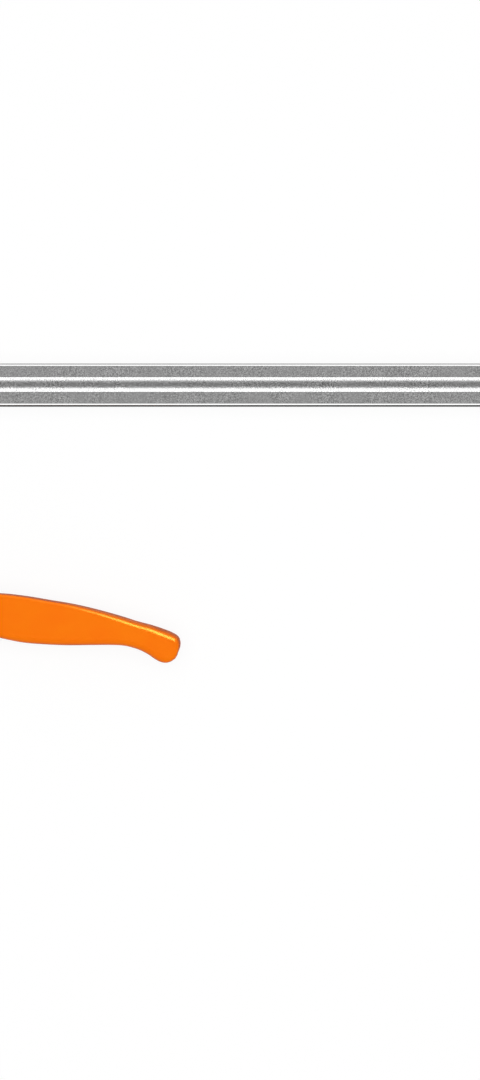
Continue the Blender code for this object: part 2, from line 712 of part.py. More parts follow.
def make_sliding_arm(frame, finish):
    """Cast arm: rail guide, I-section blade, plunger barrel, and the fork for lever and pawl."""
    guide_low = THROAT_DEPTH - HOUSING_WALL
    guide_high = THROAT_DEPTH + RAIL_WIDTH + HOUSING_WALL
    guide = filleted(
        [
            (GUIDE_REAR, guide_low, HOUSING_FILLET),
            (GUIDE_REAR, guide_high, HOUSING_FILLET),
            (-GUIDE_FRONT, guide_high, HOUSING_FILLET),
            (-GUIDE_FRONT, guide_low, HOUSING_FILLET),
        ]
    )
    arm = plate("sliding_arm", guide, 2 * GUIDE_HALF_THICKNESS, edge=ARM_EDGE, parent=frame)
    blade = plate("sliding_arm_blade", arm_outline(), ARM_THICKNESS, edge=ARM_EDGE, parent=frame)
    fork = plate("sliding_arm_fork", fork_outline(), FORK_THICKNESS, edge=FORK_EDGE, parent=frame)
    barrel = turned(
        "sliding_arm_barrel",
        [
            (0, -ARM_FRONT + FORK_BOSS_RADIUS),
            (BARREL_RADIUS, -ARM_FRONT + FORK_BOSS_RADIUS),
            (BARREL_RADIUS, BARREL_FRONT + BARREL_EDGE),
            (BARREL_RADIUS - BARREL_EDGE, BARREL_FRONT),
            (0, BARREL_FRONT),
        ],
        parent=frame,
    )
    join(arm, blade, fork, barrel)
    slot = box(
        "rail_slot",
        (-GUIDE_FRONT - OVERRUN, THROAT_DEPTH - SLIDE_PLAY, -RAIL_THICKNESS / 2 - GAP),
        (GUIDE_REAR + OVERRUN, THROAT_DEPTH + RAIL_WIDTH + SLIDE_PLAY, RAIL_THICKNESS / 2 + GAP),
        parent=frame,
    )
    cut(arm, slot, brake_recess(frame))
    pocket_low = FORK_TOP + ARM_RIM
    pocket_high = guide_low - ARM_RIM
    rear_low = (FORK_REAR - ARM_EDGE, FORK_TOP - FORK_FILLET)
    rear_high = (ARM_REAR_TOP, ARM_SHOULDER_HEIGHT)
    outline = filleted(
        [
            (-ARM_FRONT + ARM_RIM, pocket_low, POCKET_FILLET),
            (slope_x(rear_low, rear_high, pocket_low) - ARM_RIM, pocket_low, POCKET_FILLET),
            (ARM_REAR_TOP - ARM_RIM, ARM_SHOULDER_HEIGHT, ARM_BLEND),
            (ARM_REAR_TOP - ARM_RIM, pocket_high, POCKET_FILLET),
            (-ARM_FRONT + ARM_RIM, pocket_high, POCKET_FILLET),
        ]
    )
    cut(arm, *pockets("sliding_arm_pocket", outline, parent=frame))
    cut(arm, plate("lever_slot", lever_slot_outline(), LEVER_SLOT, parent=frame))
    bore_start = BARREL_FRONT - OVERRUN
    bore = rod("barrel_bore", BORE_RADIUS, bore_start, -BARREL_BORE_END, ROUND_STEPS, parent=frame)
    flange_seat = rod(
        "bush_flange_seat",
        BUSH_FLANGE_RADIUS + GAP,
        bore_start,
        BARREL_FRONT + BUSH_FLANGE + GAP,
        ROUND_STEPS,
        parent=frame,
    )
    cut(arm, bore, flange_seat)
    half_fork = FORK_THICKNESS / 2 + OVERRUN
    holes = [
        ("pivot_hole", PIVOT_RADIUS + GAP, 0, PIVOT_Y, half_fork),
        ("pawl_pin_hole", PAWL_HOLE_RADIUS, PAWL_X, PIVOT_Y + PAWL_Y, half_fork),
    ]
    for name, x, y in friction_pin_places():
        holes.append((name + "_hole", FRICTION_PIN_RADIUS + GAP, x, y, half_fork))
    for name, radius, x, y, reach in holes:
        cut(arm, rod(name, radius, -reach, reach, parent=frame, place=(x, y, 0), along_x=False))
    return finish_part(arm, finish)


def brake_recess(frame):
    middle = (GUIDE_REAR - GUIDE_FRONT) / 2
    low = THROAT_DEPTH + RAIL_WIDTH
    return box(
        "brake_recess",
        (middle - BRAKE_LENGTH / 2 - GAP, low, -BRAKE_WIDTH / 2 - GAP),
        (middle + BRAKE_LENGTH / 2 + GAP, low + SLIDE_PLAY + BRAKE_RECESS, BRAKE_WIDTH / 2 + GAP),
        parent=frame,
    )


def make_brake_spring(frame, finish):
    """A bowed leaf: its ends bear on the recess and its middle on the rail's outer edge."""
    middle = (GUIDE_REAR - GUIDE_FRONT) / 2
    rail_edge = THROAT_DEPTH + RAIL_WIDTH
    bow = SLIDE_PLAY + BRAKE_RECESS - BRAKE_STRIP - 2 * GAP
    half = BRAKE_LENGTH / 2 - GAP
    lower = []
    for i in range(BRAKE_STEPS + 1):
        share = 2 * i / BRAKE_STEPS - 1
        lower.append((middle + half * share, rail_edge + GAP + bow * share**2))
    upper = [(x, y + BRAKE_STRIP) for x, y in reversed(lower)]
    leaf = plate("arm_brake_spring", lower + upper, BRAKE_WIDTH, parent=frame)
    return finish_part(leaf, finish)


def make_friction_pins(frame, finish):
    reach = GUIDE_HALF_THICKNESS
    for name, x, y in friction_pin_places():
        pin = rod(name, FRICTION_PIN_RADIUS, -reach, reach, parent=frame, place=(x, y, 0), along_x=False)
        finish_part(pin, finish)


def make_guide_bush(frame, finish):
    inner = STEM_RADIUS + GAP
    profile = [
        (inner, BUSH_REAR),
        (PLUNGER_RADIUS, BUSH_REAR),
        (PLUNGER_RADIUS, BARREL_FRONT + BUSH_FLANGE),
        (BUSH_FLANGE_RADIUS, BARREL_FRONT + BUSH_FLANGE),
        (BUSH_FLANGE_RADIUS, BARREL_FRONT),
        (inner, BARREL_FRONT),
    ]
    bush = turned("guide_bush", profile, closed=True, parent=frame)
    return finish_part(bush, finish)


def make_return_spring(frame, finish):
    """A coil round the stem, between the bush and the plunger's shoulder."""
    low = BUSH_REAR + GAP + SPRING_WIRE_RADIUS
    high = PLUNGER_SHOULDER - GAP - SPRING_WIRE_RADIUS
    count = SPRING_CURLS * CURL_POINTS
    points = []
    for i in range(count + 1):
        y, z = polar(SPRING_RADIUS, 360 * i / CURL_POINTS)
        points.append((low + (high - low) * i / count, y, z))
    report_least_gap("return_spring", points, SPRING_WIRE_RADIUS, CURL_POINTS)
    spring = tube("return_spring", points, SPRING_WIRE_RADIUS, parent=frame)
    return finish_part(spring, finish)


def report_least_gap(name, points, radius, skip):
    """Prints the least distance between turns of a wire, less its diameter."""
    places = [Vector(point) for point in points]
    least = min(
        (places[i] - places[j]).length
        for i in range(len(places))
        for j in range(i + skip - 2, len(places))
    )
    print(f"{name}: least gap to itself {1000 * (least - 2 * radius):.2f} mm")


def make_plunger(frame, finish):
    """Ball end, neck, stem and body, turned about the pad axis, with a flat rear face for the cam."""
    ball = BALL_X
    neck_start = math.degrees(math.asin(NECK_RADIUS / BALL_RADIUS))
    profile = [
        (0, PLUNGER_REAR),
        (PLUNGER_RADIUS - PLUNGER_EDGE, PLUNGER_REAR),
        (PLUNGER_RADIUS, PLUNGER_REAR - PLUNGER_EDGE),
        (PLUNGER_RADIUS, PLUNGER_SHOULDER),
        (STEM_RADIUS, PLUNGER_SHOULDER),
        (STEM_RADIUS, ball + NECK_LENGTH + STEM_RADIUS - NECK_RADIUS),
        (NECK_RADIUS, ball + NECK_LENGTH),
    ]
    for i in range(BALL_STEPS + 1):
        angle = math.radians(neck_start + (180 - neck_start) * i / BALL_STEPS)
        profile.append((BALL_RADIUS * math.sin(angle), ball + BALL_RADIUS * math.cos(angle)))
    profile[-1] = (0, ball - BALL_RADIUS)
    plunger = turned("plunger", profile, parent=frame)
    return finish_part(plunger, finish)


def make_pressure_plate(frame, finish):
    """The swivelling plate, about the ball's centre. Its back is open for the ball and the snap ring."""
    front = -BALL_DEPTH
    back = front + PLATE_THICKNESS
    socket = BALL_RADIUS + GAP
    ring_low = RING_DISTANCE - GAP
    ring_high = RING_DISTANCE + RING_THICKNESS + GAP
    groove = RING_OUTER_RADIUS + GAP
    profile = [(0, -socket)]
    for i in range(1, BALL_STEPS // 2 + 1):
        angle = math.radians(90 * i / (BALL_STEPS // 2))
        profile.append((socket * math.sin(angle), -socket * math.cos(angle)))
    profile += [
        (socket, ring_low),
        (groove, ring_low),
        (groove, ring_high),
        (PLATE_MOUTH_RADIUS, ring_high),
        (PLATE_MOUTH_RADIUS, back),
        (PLATE_BACK_RADIUS, back),
        (PAD_SEAT_RADIUS, front + PLATE_RIM),
        (PAD_SEAT_RADIUS, front + PLATE_EDGE),
        (PAD_SEAT_RADIUS - PLATE_EDGE, front),
        (0, front),
    ]
    plate_body = turned("pressure_plate", profile, parent=frame)
    return finish_part(plate_body, finish)


def split_ring(name, inner, outer, mouth_angle, thickness, **placing):
    """A spring ring cut open by a mouth."""
    start = mouth_angle / 2
    end = 360 - start
    outline = arc((0, 0), outer, start, end, PIN_STEPS) + arc((0, 0), inner, end, start, PIN_STEPS)
    return plate(name, outline, thickness, **placing)


def make_snap_ring(frame, finish):
    ring = split_ring(
        "plate_snap_ring",
        RING_INNER_RADIUS,
        RING_OUTER_RADIUS,
        RING_MOUTH_ANGLE,
        RING_THICKNESS,
        parent=frame,
        place=(RING_DISTANCE + RING_THICKNESS / 2, 0, 0),
        turn=(0, math.radians(90), 0),
    )
    return finish_part(ring, finish)


def cam_point(normal_angle):
    """A point of the involute cam, whose distance to the plunger's face grows evenly with the turn."""
    angle = math.radians(normal_angle)
    support = CAM_HEIGHT + CAM_BASE_RADIUS * (math.pi - angle)
    across = CAM_BASE_RADIUS
    return (
        support * math.cos(angle) + across * math.sin(angle),
        support * math.sin(angle) - across * math.cos(angle),
    )


def head_outline():
    """The lever's head about its pivot: ratchet teeth above, cam towards the plunger, hub below, neck."""
    outline = []
    for tooth in range(RATCHET_TEETH):
        angle = RATCHET_START_ANGLE + tooth * RATCHET_PITCH_ANGLE
        outline.append(polar(RATCHET_ROOT_RADIUS, angle))
        outline.append(polar(RATCHET_TIP_RADIUS, angle))
    outline.append(polar(RATCHET_ROOT_RADIUS, RATCHET_START_ANGLE + RATCHET_TEETH * RATCHET_PITCH_ANGLE))
    cam_start = 180 - LEVER_SHUT_ANGLE - CAM_SPARE_ANGLE
    for i in range(CAM_STEPS + 1):
        outline.append(cam_point(cam_start + (CAM_END_ANGLE - cam_start) * i / CAM_STEPS))
    hub_radius = math.hypot(*outline[-1])
    hub_start = math.degrees(math.atan2(outline[-1][1], outline[-1][0])) + 360
    outline += arc((0, 0), hub_radius, hub_start, HUB_END_ANGLE, HUB_STEPS)[1:]
    outline += [(NECK_END, NECK_BOTTOM), (NECK_END, NECK_TOP)]
    return outline


def grip_stations():
    """Top point, bottom point, width and three roundings of each section, in metres about the pivot."""
    stations = []
    for top_x, top_y, bottom_x, bottom_y, *across in GRIP_SHARES:
        top = Vector((top_x, top_y)) * LEVER_REACH
        bottom = Vector((bottom_x, bottom_y)) * LEVER_REACH
        stations.append((top, bottom, *(share * GRIP_WIDTH for share in across)))
    return stations


def tongue_outline():
    """The flat tongue follows the middle of the grip."""
    stations = grip_stations()[TONGUE_FIRST_STATION : TONGUE_LAST_STATION + 1]
    upper = []
    lower = []
    for top, bottom, *_ in stations:
        middle = (top + bottom) / 2
        across = (top - bottom).normalized() * TONGUE_HALF_HEIGHT
        upper.append(tuple(middle + across))
        lower.append(tuple(middle - across))
    root = NECK_END - NECK_BOTTOM / 2
    lower.insert(0, (root, lower[0][1]))
    upper.insert(0, (root, upper[0][1]))
    return lower + upper[::-1]


def grip_rivet_places():
    stations = grip_stations()
    names = ("grip_rivet_inner", "grip_rivet_outer")
    places = []
    for name, index in zip(names, GRIP_RIVET_STATIONS):
        top, bottom, width = stations[index][:3]
        places.append((name, (top + bottom) / 2, width / 2))
    return places


def make_lever_core(frame, finish):
    core = plate("lever_core", head_outline(), HEAD_THICKNESS, parent=frame)
    join(core, plate("lever_tongue", tongue_outline(), TONGUE_THICKNESS, parent=frame))
    hub_bore = PIVOT_RADIUS + BUSH_WALL + 2 * GAP
    cut(core, rod("hub_bore", hub_bore, -HEAD_THICKNESS, HEAD_THICKNESS, parent=frame, along_x=False))
    for name, place, _ in grip_rivet_places():
        hole = rod(
            name + "_tongue_hole",
            GRIP_RIVET_RADIUS + GAP,
            -HEAD_THICKNESS,
            HEAD_THICKNESS,
            parent=frame,
            place=(place.x, place.y, 0),
            along_x=False,
        )
        cut(core, hole)
    return finish_part(core, finish)


def make_lever_bush(frame, finish):
    inner = PIVOT_RADIUS + GAP
    outer = inner + BUSH_WALL
    half = HEAD_THICKNESS / 2
    profile = [(inner, half), (outer, half), (outer, -half), (inner, -half)]
    bush = turned("lever_bush", profile, closed=True, along_x=False, parent=frame)
    return finish_part(bush, finish)


def smooth_between(values, position):
    """Catmull-Rom value at a position counted in stations."""
    last = len(values) - 1
    index = min(int(position), last - 1)
    t = position - index
    before = values[max(index - 1, 0)]
    start = values[index]
    end = values[index + 1]
    after = values[min(index + 2, last)]
    return 0.5 * (
        2 * start
        + (end - before) * t
        + (2 * before - 5 * start + 4 * end - after) * t**2
        + (3 * start - before - 3 * end + after) * t**3
    )


def grip_section(half_height, half_width, top_drop, top_side, bottom, shrink=0.0):
    """Points round a section, as (along its height, along its width). Its corners are elliptic above
    and round below, and shrink draws it in on all sides."""
    points = []
    for up, side, drop, inset, start in (
        (1, 1, top_drop, top_side, 90),
        (1, -1, top_drop, top_side, 0),
        (-1, -1, bottom, bottom, -90),
        (-1, 1, bottom, bottom, -180),
    ):
        drop = min(drop, half_height * ROUND_LIMIT_SHARE)
        inset = min(inset, half_width * ROUND_LIMIT_SHARE)
        for step in range(FILLET_STEPS + 1):
            height, width = polar(1, start - 90 * step / FILLET_STEPS)
            points.append(
                (
                    up * (half_height - drop) + drop * height,
                    side * (half_width - inset) + inset * width,
                )
            )
    height_share = 1 - shrink / half_height
    width_share = 1 - shrink / half_width
    return [(height * height_share, width * width_share) for height, width in points]


def make_lever_grip(frame, finish):
    """The grip is a loft of rounded sections, fanned round at the hooked tip and closed by a rounding."""
    columns = [list(column) for column in zip(*grip_stations())]
    last = len(columns[0]) - 1
    levels = [(i / GRIP_SAMPLES, 0.0, 0.0) for i in range(last * GRIP_SAMPLES + 1)]
    for step in range(1, FILLET_STEPS + 1):
        inward, outward = polar(1, 90 * step / FILLET_STEPS)
        levels.append((last, GRIP_TIP_BULGE * outward, GRIP_TIP_EDGE * (1 - inward)))
    work = bmesh.new()
    rings = []
    for position, outward, shrink in levels:
        top, bottom, width, *rounding = (smooth_between(column, position) for column in columns)
        up = (top - bottom).normalized()
        middle = (top + bottom) / 2 + Vector((up.y, -up.x)) * outward
        half_height = (top - bottom).length / 2
        ring = []
        for height, across in grip_section(half_height, width / 2, *rounding, shrink):
            ring.append(work.verts.new((*(middle + up * height), across)))
        rings.append(ring)
    for ring, following in zip(rings, rings[1:]):
        for i in range(len(ring)):
            j = (i + 1) % len(ring)
            work.faces.new((ring[i], ring[j], following[j], following[i]))
    work.faces.new(rings[0])
    work.faces.new(rings[-1])
    bmesh.ops.recalc_face_normals(work, faces=work.faces)
    mesh = bpy.data.meshes.new("lever_grip")
    work.to_mesh(mesh)
    work.free()
    grip = add_object("lever_grip", mesh, parent=frame)
    room = plate("tongue_room", tongue_outline(), TONGUE_THICKNESS + 2 * GAP, grow=GAP, parent=frame)
    cut(grip, room)
    for name, place, half_width in grip_rivet_places():
        where = (place.x, place.y, 0)
        seat = half_width - GRIP_RIVET_HEAD
        hole = rod(
            name + "_hole",
            GRIP_RIVET_RADIUS + GAP,
            -half_width - OVERRUN,
            half_width + OVERRUN,
            parent=frame,
            place=where,
            along_x=False,
        )
        cut(grip, hole)
        far = half_width + OVERRUN
        for side, low, high in (("top", seat, far), ("bottom", -far, -seat)):
            sink = rod(
                name + "_sink_" + side,
                GRIP_RIVET_HEAD_RADIUS + GAP,
                low,
                high,
                parent=frame,
                place=where,
                along_x=False,
            )
            cut(grip, sink)
    return finish_part(grip, finish)


def make_grip_rivets(frame, finish):
    for name, place, half_width in grip_rivet_places():
        seat = half_width - GRIP_RIVET_HEAD + GAP
        profile = [
            (0, half_width),
            (GRIP_RIVET_HEAD_RADIUS * HEAD_FLAT_SHARE, half_width),
            (GRIP_RIVET_HEAD_RADIUS, (seat + half_width) / 2),
            (GRIP_RIVET_HEAD_RADIUS, seat),
            (GRIP_RIVET_RADIUS, seat),
        ]
        profile += [(radius, -height) for radius, height in reversed(profile)]
        where = (place.x, place.y, 0)
        rivet = turned(name, profile, PIN_STEPS, along_x=False, parent=frame, place=where)
        finish_part(rivet, finish)


def make_pivot_pin(frame, finish):
    """A headed pin through both cheeks, with a groove for the circlip below."""
    top = FORK_THICKNESS / 2 + GAP
    groove_high = -top + GAP
    groove_low = -top - CIRCLIP_THICKNESS - GAP
    groove = PIVOT_RADIUS - CIRCLIP_GROOVE_DEPTH
    end = -top - PIVOT_TAIL
    edge = PIVOT_EDGE
    profile = [
        (0, top + PIVOT_HEAD),
        (PIVOT_HEAD_RADIUS - edge, top + PIVOT_HEAD),
        (PIVOT_HEAD_RADIUS, top + PIVOT_HEAD - edge),
        (PIVOT_HEAD_RADIUS, top),
        (PIVOT_RADIUS, top),
        (PIVOT_RADIUS, groove_high),
        (groove, groove_high),
        (groove, groove_low),
        (PIVOT_RADIUS, groove_low),
        (PIVOT_RADIUS, end + edge),
        (PIVOT_RADIUS - edge, end),
        (0, end),
    ]
    pin = turned("lever_pivot_pin", profile, PIN_STEPS, along_x=False, parent=frame, place=(0, PIVOT_Y, 0))
    return finish_part(pin, finish)


def make_circlip(frame, finish):
    inner = PIVOT_RADIUS - CIRCLIP_GROOVE_DEPTH + GAP
    low = -FORK_THICKNESS / 2 - GAP - CIRCLIP_THICKNESS / 2
    clip = split_ring(
        "pivot_circlip",
        inner,
        CIRCLIP_RADIUS,
        CIRCLIP_MOUTH_ANGLE,
        CIRCLIP_THICKNESS,
        parent=frame,
        place=(0, PIVOT_Y, low),
    )
    return finish_part(clip, finish)


def pawl_tip():
    """The pawl's tip about its pin, just clear of the circle that the tooth tips run on."""
    x, y = polar(RATCHET_TIP_RADIUS + GAP, PAWL_CONTACT_ANGLE)
    return (x - PAWL_X, y - PAWL_Y)


def pawl_outline():
    """Nose with a steep bearing face and a sloped back, hub, and tail to the thumb tab."""
    tip = pawl_tip()
    nose_back = polar(PAWL_NOSE_LENGTH, PAWL_NOSE_ANGLE, tip)
    face_top = polar(PAWL_FACE_LENGTH, PAWL_CONTACT_ANGLE + RATCHET_PITCH_ANGLE, tip)
    hub_right = polar(PAWL_HUB_RADIUS, PAWL_BELLY_ANGLE)
    tail_low = (PAWL_TAIL, PAWL_TAIL_RISE)
    tail_high = (PAWL_TAIL, PAWL_TAIL_RISE + PAWL_TAIL_HEIGHT)
    tail_root = polar(PAWL_HUB_RADIUS, PAWL_TAIL_ANGLE)
    outline = [tip, nose_back, hub_right, tail_root, tail_low, tail_high]
    outline += arc((0, 0), PAWL_HUB_RADIUS, PAWL_BACK_START_ANGLE, PAWL_BACK_END_ANGLE, PAWL_STEPS)
    outline.append(face_top)
    return outline


def pawl_plate_z():
    """Height of the pawl plate's middle. The plate lies low in the slot, and the spring fills the rest."""
    return -LEVER_SLOT / 2 + GAP + PAWL_THICKNESS / 2


def make_pawl(frame, finish):
    z = pawl_plate_z()
    pawl = plate("pawl", pawl_outline(), PAWL_THICKNESS, parent=frame)
    pawl.location.z = z
    tab_start = PAWL_TAIL - PAWL_TAB_LENGTH
    tab_low = PAWL_TAIL_RISE + PAWL_TAIL_HEIGHT - PAWL_TAB_THICKNESS
    tab = box(
        "pawl_tab",
        (tab_start, tab_low, -PAWL_TAB_WIDTH / 2),
        (PAWL_TAIL + PAWL_TAB_EDGE, tab_low + PAWL_TAB_THICKNESS + PAWL_TAB_EDGE, PAWL_TAB_WIDTH / 2),
        parent=frame,
    )
    rounding = tab.modifiers.new("rounding", "BEVEL")
    rounding.width = PAWL_TAB_EDGE
    rounding.segments = 2
    join(pawl, tab)
    tab_top = tab_low + PAWL_TAB_THICKNESS + PAWL_TAB_EDGE
    for i in range(PAWL_TAB_GROOVES):
        start = PAWL_TAIL - PAWL_TAB_GROOVE_PITCH * (i + 1)
        groove = box(
            "pawl_tab_groove",
            (start, tab_top - PAWL_TAB_GROOVE_DEPTH, -PAWL_TAB_WIDTH),
            (start + PAWL_TAB_GROOVE_WIDTH, tab_top + OVERRUN, PAWL_TAB_WIDTH),
            parent=frame,
        )
        cut(pawl, groove)
    cut(
        pawl,
        rod("pawl_bore", PAWL_HOLE_RADIUS, -LEVER_SLOT, LEVER_SLOT, parent=frame, along_x=False),
    )
    return finish_part(pawl, finish)


def make_pawl_pin(frame, finish):
    face = FORK_THICKNESS / 2 + GAP
    head = face + PAWL_PIN_HEAD
    profile = [
        (0, head),
        (PAWL_PIN_HEAD_RADIUS * HEAD_FLAT_SHARE, head),
        (PAWL_PIN_HEAD_RADIUS, face + PAWL_PIN_HEAD * HEAD_SIDE_SHARE),
        (PAWL_PIN_HEAD_RADIUS, face),
        (PAWL_PIN_RADIUS, face),
    ]
    profile += [(radius, -height) for radius, height in reversed(profile)]
    where = (PAWL_X, PIVOT_Y + PAWL_Y, 0)
    pin = turned("pawl_pin", profile, PIN_STEPS, along_x=False, parent=frame, place=where)
    return finish_part(pin, finish)


def make_pawl_spring(frame, finish):
    """A torsion spring round the pawl's pin: one leg along the pawl's tail, the other to the slot's end."""
    low = pawl_plate_z() + PAWL_THICKNESS / 2 + GAP + PAWL_SPRING_WIRE_RADIUS
    count = round(PAWL_SPRING_TURNS * CURL_POINTS)
    points = [(PAWL_HUB_RADIUS + PAWL_SPRING_RADIUS, -PAWL_SPRING_RADIUS, low)]
    for i in range(count + 1):
        turned_by = PAWL_SPRING_TURNS * i / count
        x, y = polar(PAWL_SPRING_RADIUS, -90 - 360 * turned_by)
        points.append((x, y, low + PAWL_SPRING_PITCH * turned_by))
    report_least_gap("pawl_spring", points, PAWL_SPRING_WIRE_RADIUS, CURL_POINTS)
    end = points[-1]
    points.append((end[0], PAWL_POCKET - GAP, end[2]))
    where = (PAWL_X, PIVOT_Y + PAWL_Y, 0)
    spring = tube("pawl_spring", points, PAWL_SPRING_WIRE_RADIUS, parent=frame, place=where)
    return finish_part(spring, finish)


def main():
    clear_scene()
    bright = material("bright_steel", (0.62, 0.63, 0.64), 0.28, 1.0)
    machined = material("machined_steel", (0.45, 0.46, 0.47), 0.35, 1.0)
    casting = material("painted_casting", (0.025, 0.026, 0.028), 0.45, 0.0)
    orange = material("orange_grip", (1.0, 0.19, 0.0), 0.28, 0.0)
    cap_finish = material("pad_cap", (0.03, 0.03, 0.032), 0.55, 0.0)
    spring_finish = material("spring_steel", (0.3, 0.3, 0.32), 0.4, 1.0)
    bronze = material("bearing_bronze", (0.45, 0.3, 0.13), 0.4, 1.0)

    make_rail(bright)
    make_stop_pin(machined)
    make_fixed_arm(casting)
    make_fixed_rivets(machined)
    make_cap("fixed_pad_cap", cap_finish, 1)

    arm_frame = frame_empty("arm_frame", (ARM_X, 0, 0))
    make_sliding_arm(arm_frame, casting)
    make_brake_spring(arm_frame, spring_finish)
    make_friction_pins(arm_frame, machined)
    make_guide_bush(arm_frame, bronze)
    make_return_spring(arm_frame, spring_finish)
    make_pivot_pin(arm_frame, machined)
    make_circlip(arm_frame, spring_finish)
    make_pawl_pin(arm_frame, machined)
    make_pawl_spring(arm_frame, spring_finish)
    make_plunger(arm_frame, bright)

    plate_frame = frame_empty("plate_frame", (BALL_X, 0, 0), arm_frame)
    make_pressure_plate(plate_frame, machined)
    make_snap_ring(plate_frame, spring_finish)
    make_cap("moving_pad_cap", cap_finish, -1, parent=plate_frame, place=(MOVING_FACE - BALL_X, 0, 0))

    lever_frame = frame_empty("lever_frame", (0, PIVOT_Y, 0), arm_frame)
    make_lever_core(lever_frame, machined)
    make_lever_bush(lever_frame, bronze)
    make_lever_grip(lever_frame, orange)
    make_grip_rivets(lever_frame, machined)

    pawl_frame = frame_empty("pawl_frame", (PAWL_X, PIVOT_Y + PAWL_Y, 0), arm_frame)
    make_pawl(pawl_frame, machined)


main()
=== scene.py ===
"""Looks of the ratchet lever bar clamp: finishes, finer visible pieces, floor, light and camera."""

import json
import math

import bmesh
import bpy
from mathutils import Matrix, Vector


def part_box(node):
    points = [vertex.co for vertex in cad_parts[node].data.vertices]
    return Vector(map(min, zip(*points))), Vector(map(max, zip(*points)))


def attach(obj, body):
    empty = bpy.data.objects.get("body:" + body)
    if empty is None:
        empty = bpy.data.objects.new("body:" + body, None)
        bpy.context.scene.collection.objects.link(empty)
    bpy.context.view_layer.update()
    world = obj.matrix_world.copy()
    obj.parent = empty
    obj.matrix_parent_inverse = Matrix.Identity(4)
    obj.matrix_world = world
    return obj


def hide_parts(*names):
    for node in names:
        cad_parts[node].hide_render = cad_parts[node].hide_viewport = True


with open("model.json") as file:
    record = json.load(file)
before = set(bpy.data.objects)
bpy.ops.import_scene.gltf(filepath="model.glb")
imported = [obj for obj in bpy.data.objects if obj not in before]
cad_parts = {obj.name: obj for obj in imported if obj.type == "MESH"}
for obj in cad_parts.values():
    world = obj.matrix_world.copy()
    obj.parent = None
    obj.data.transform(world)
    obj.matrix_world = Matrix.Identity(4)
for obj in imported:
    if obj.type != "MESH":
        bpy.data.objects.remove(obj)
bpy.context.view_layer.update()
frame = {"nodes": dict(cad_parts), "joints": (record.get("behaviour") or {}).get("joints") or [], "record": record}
NODES = frame["nodes"]
JOINTS = {joint["name"]: joint for joint in frame["joints"]}

# The photograph's scale and where its pixels lie, with y counted downwards
METRES_PER_PIXEL = 0.00052
PHOTO_WIDTH = 480
PHOTO_HEIGHT = 1080
PIVOT_PIXEL = (-110, 650.9)
LEVER_PIXEL = (130, 630)

# The camera, whose distance is measured from the rail's top face
CAMERA_DISTANCE = 1.05
CAMERA_CLIP = 0.01
SENSOR = 36.0

# The range that most of a noise texture's values lie in
NOISE_LOW = 0.3
NOISE_MIDDLE = 0.5
NOISE_HIGH = 0.7

PIVOT = Vector(JOINTS["lever_swing"]["pos_m"])
RAIL_LOW, RAIL_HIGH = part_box("rail")
RAIL_MIDDLE = (RAIL_LOW + RAIL_HIGH) / 2
RAIL_HALF = (RAIL_HIGH - RAIL_LOW) / 2
# The clamp lies on its jaw caps
FLOOR_Z = min(low[2] for low in (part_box("fixed_pad_cap")[0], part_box("moving_pad_cap")[0]))


def pixel_place(x, y):
    """The point of the clamp's middle plane that the photograph shows at a pixel."""
    across = (x - PIVOT_PIXEL[0]) * METRES_PER_PIXEL
    up = (PIVOT_PIXEL[1] - y) * METRES_PER_PIXEL
    return Vector((PIVOT.x + across, PIVOT.y + up, 0.0))


# A colour Mix node's sockets by their places, since several share a name
MIX_SHARE, MIX_FIRST, MIX_SECOND = 0, 6, 7
MIX_RESULT = 2


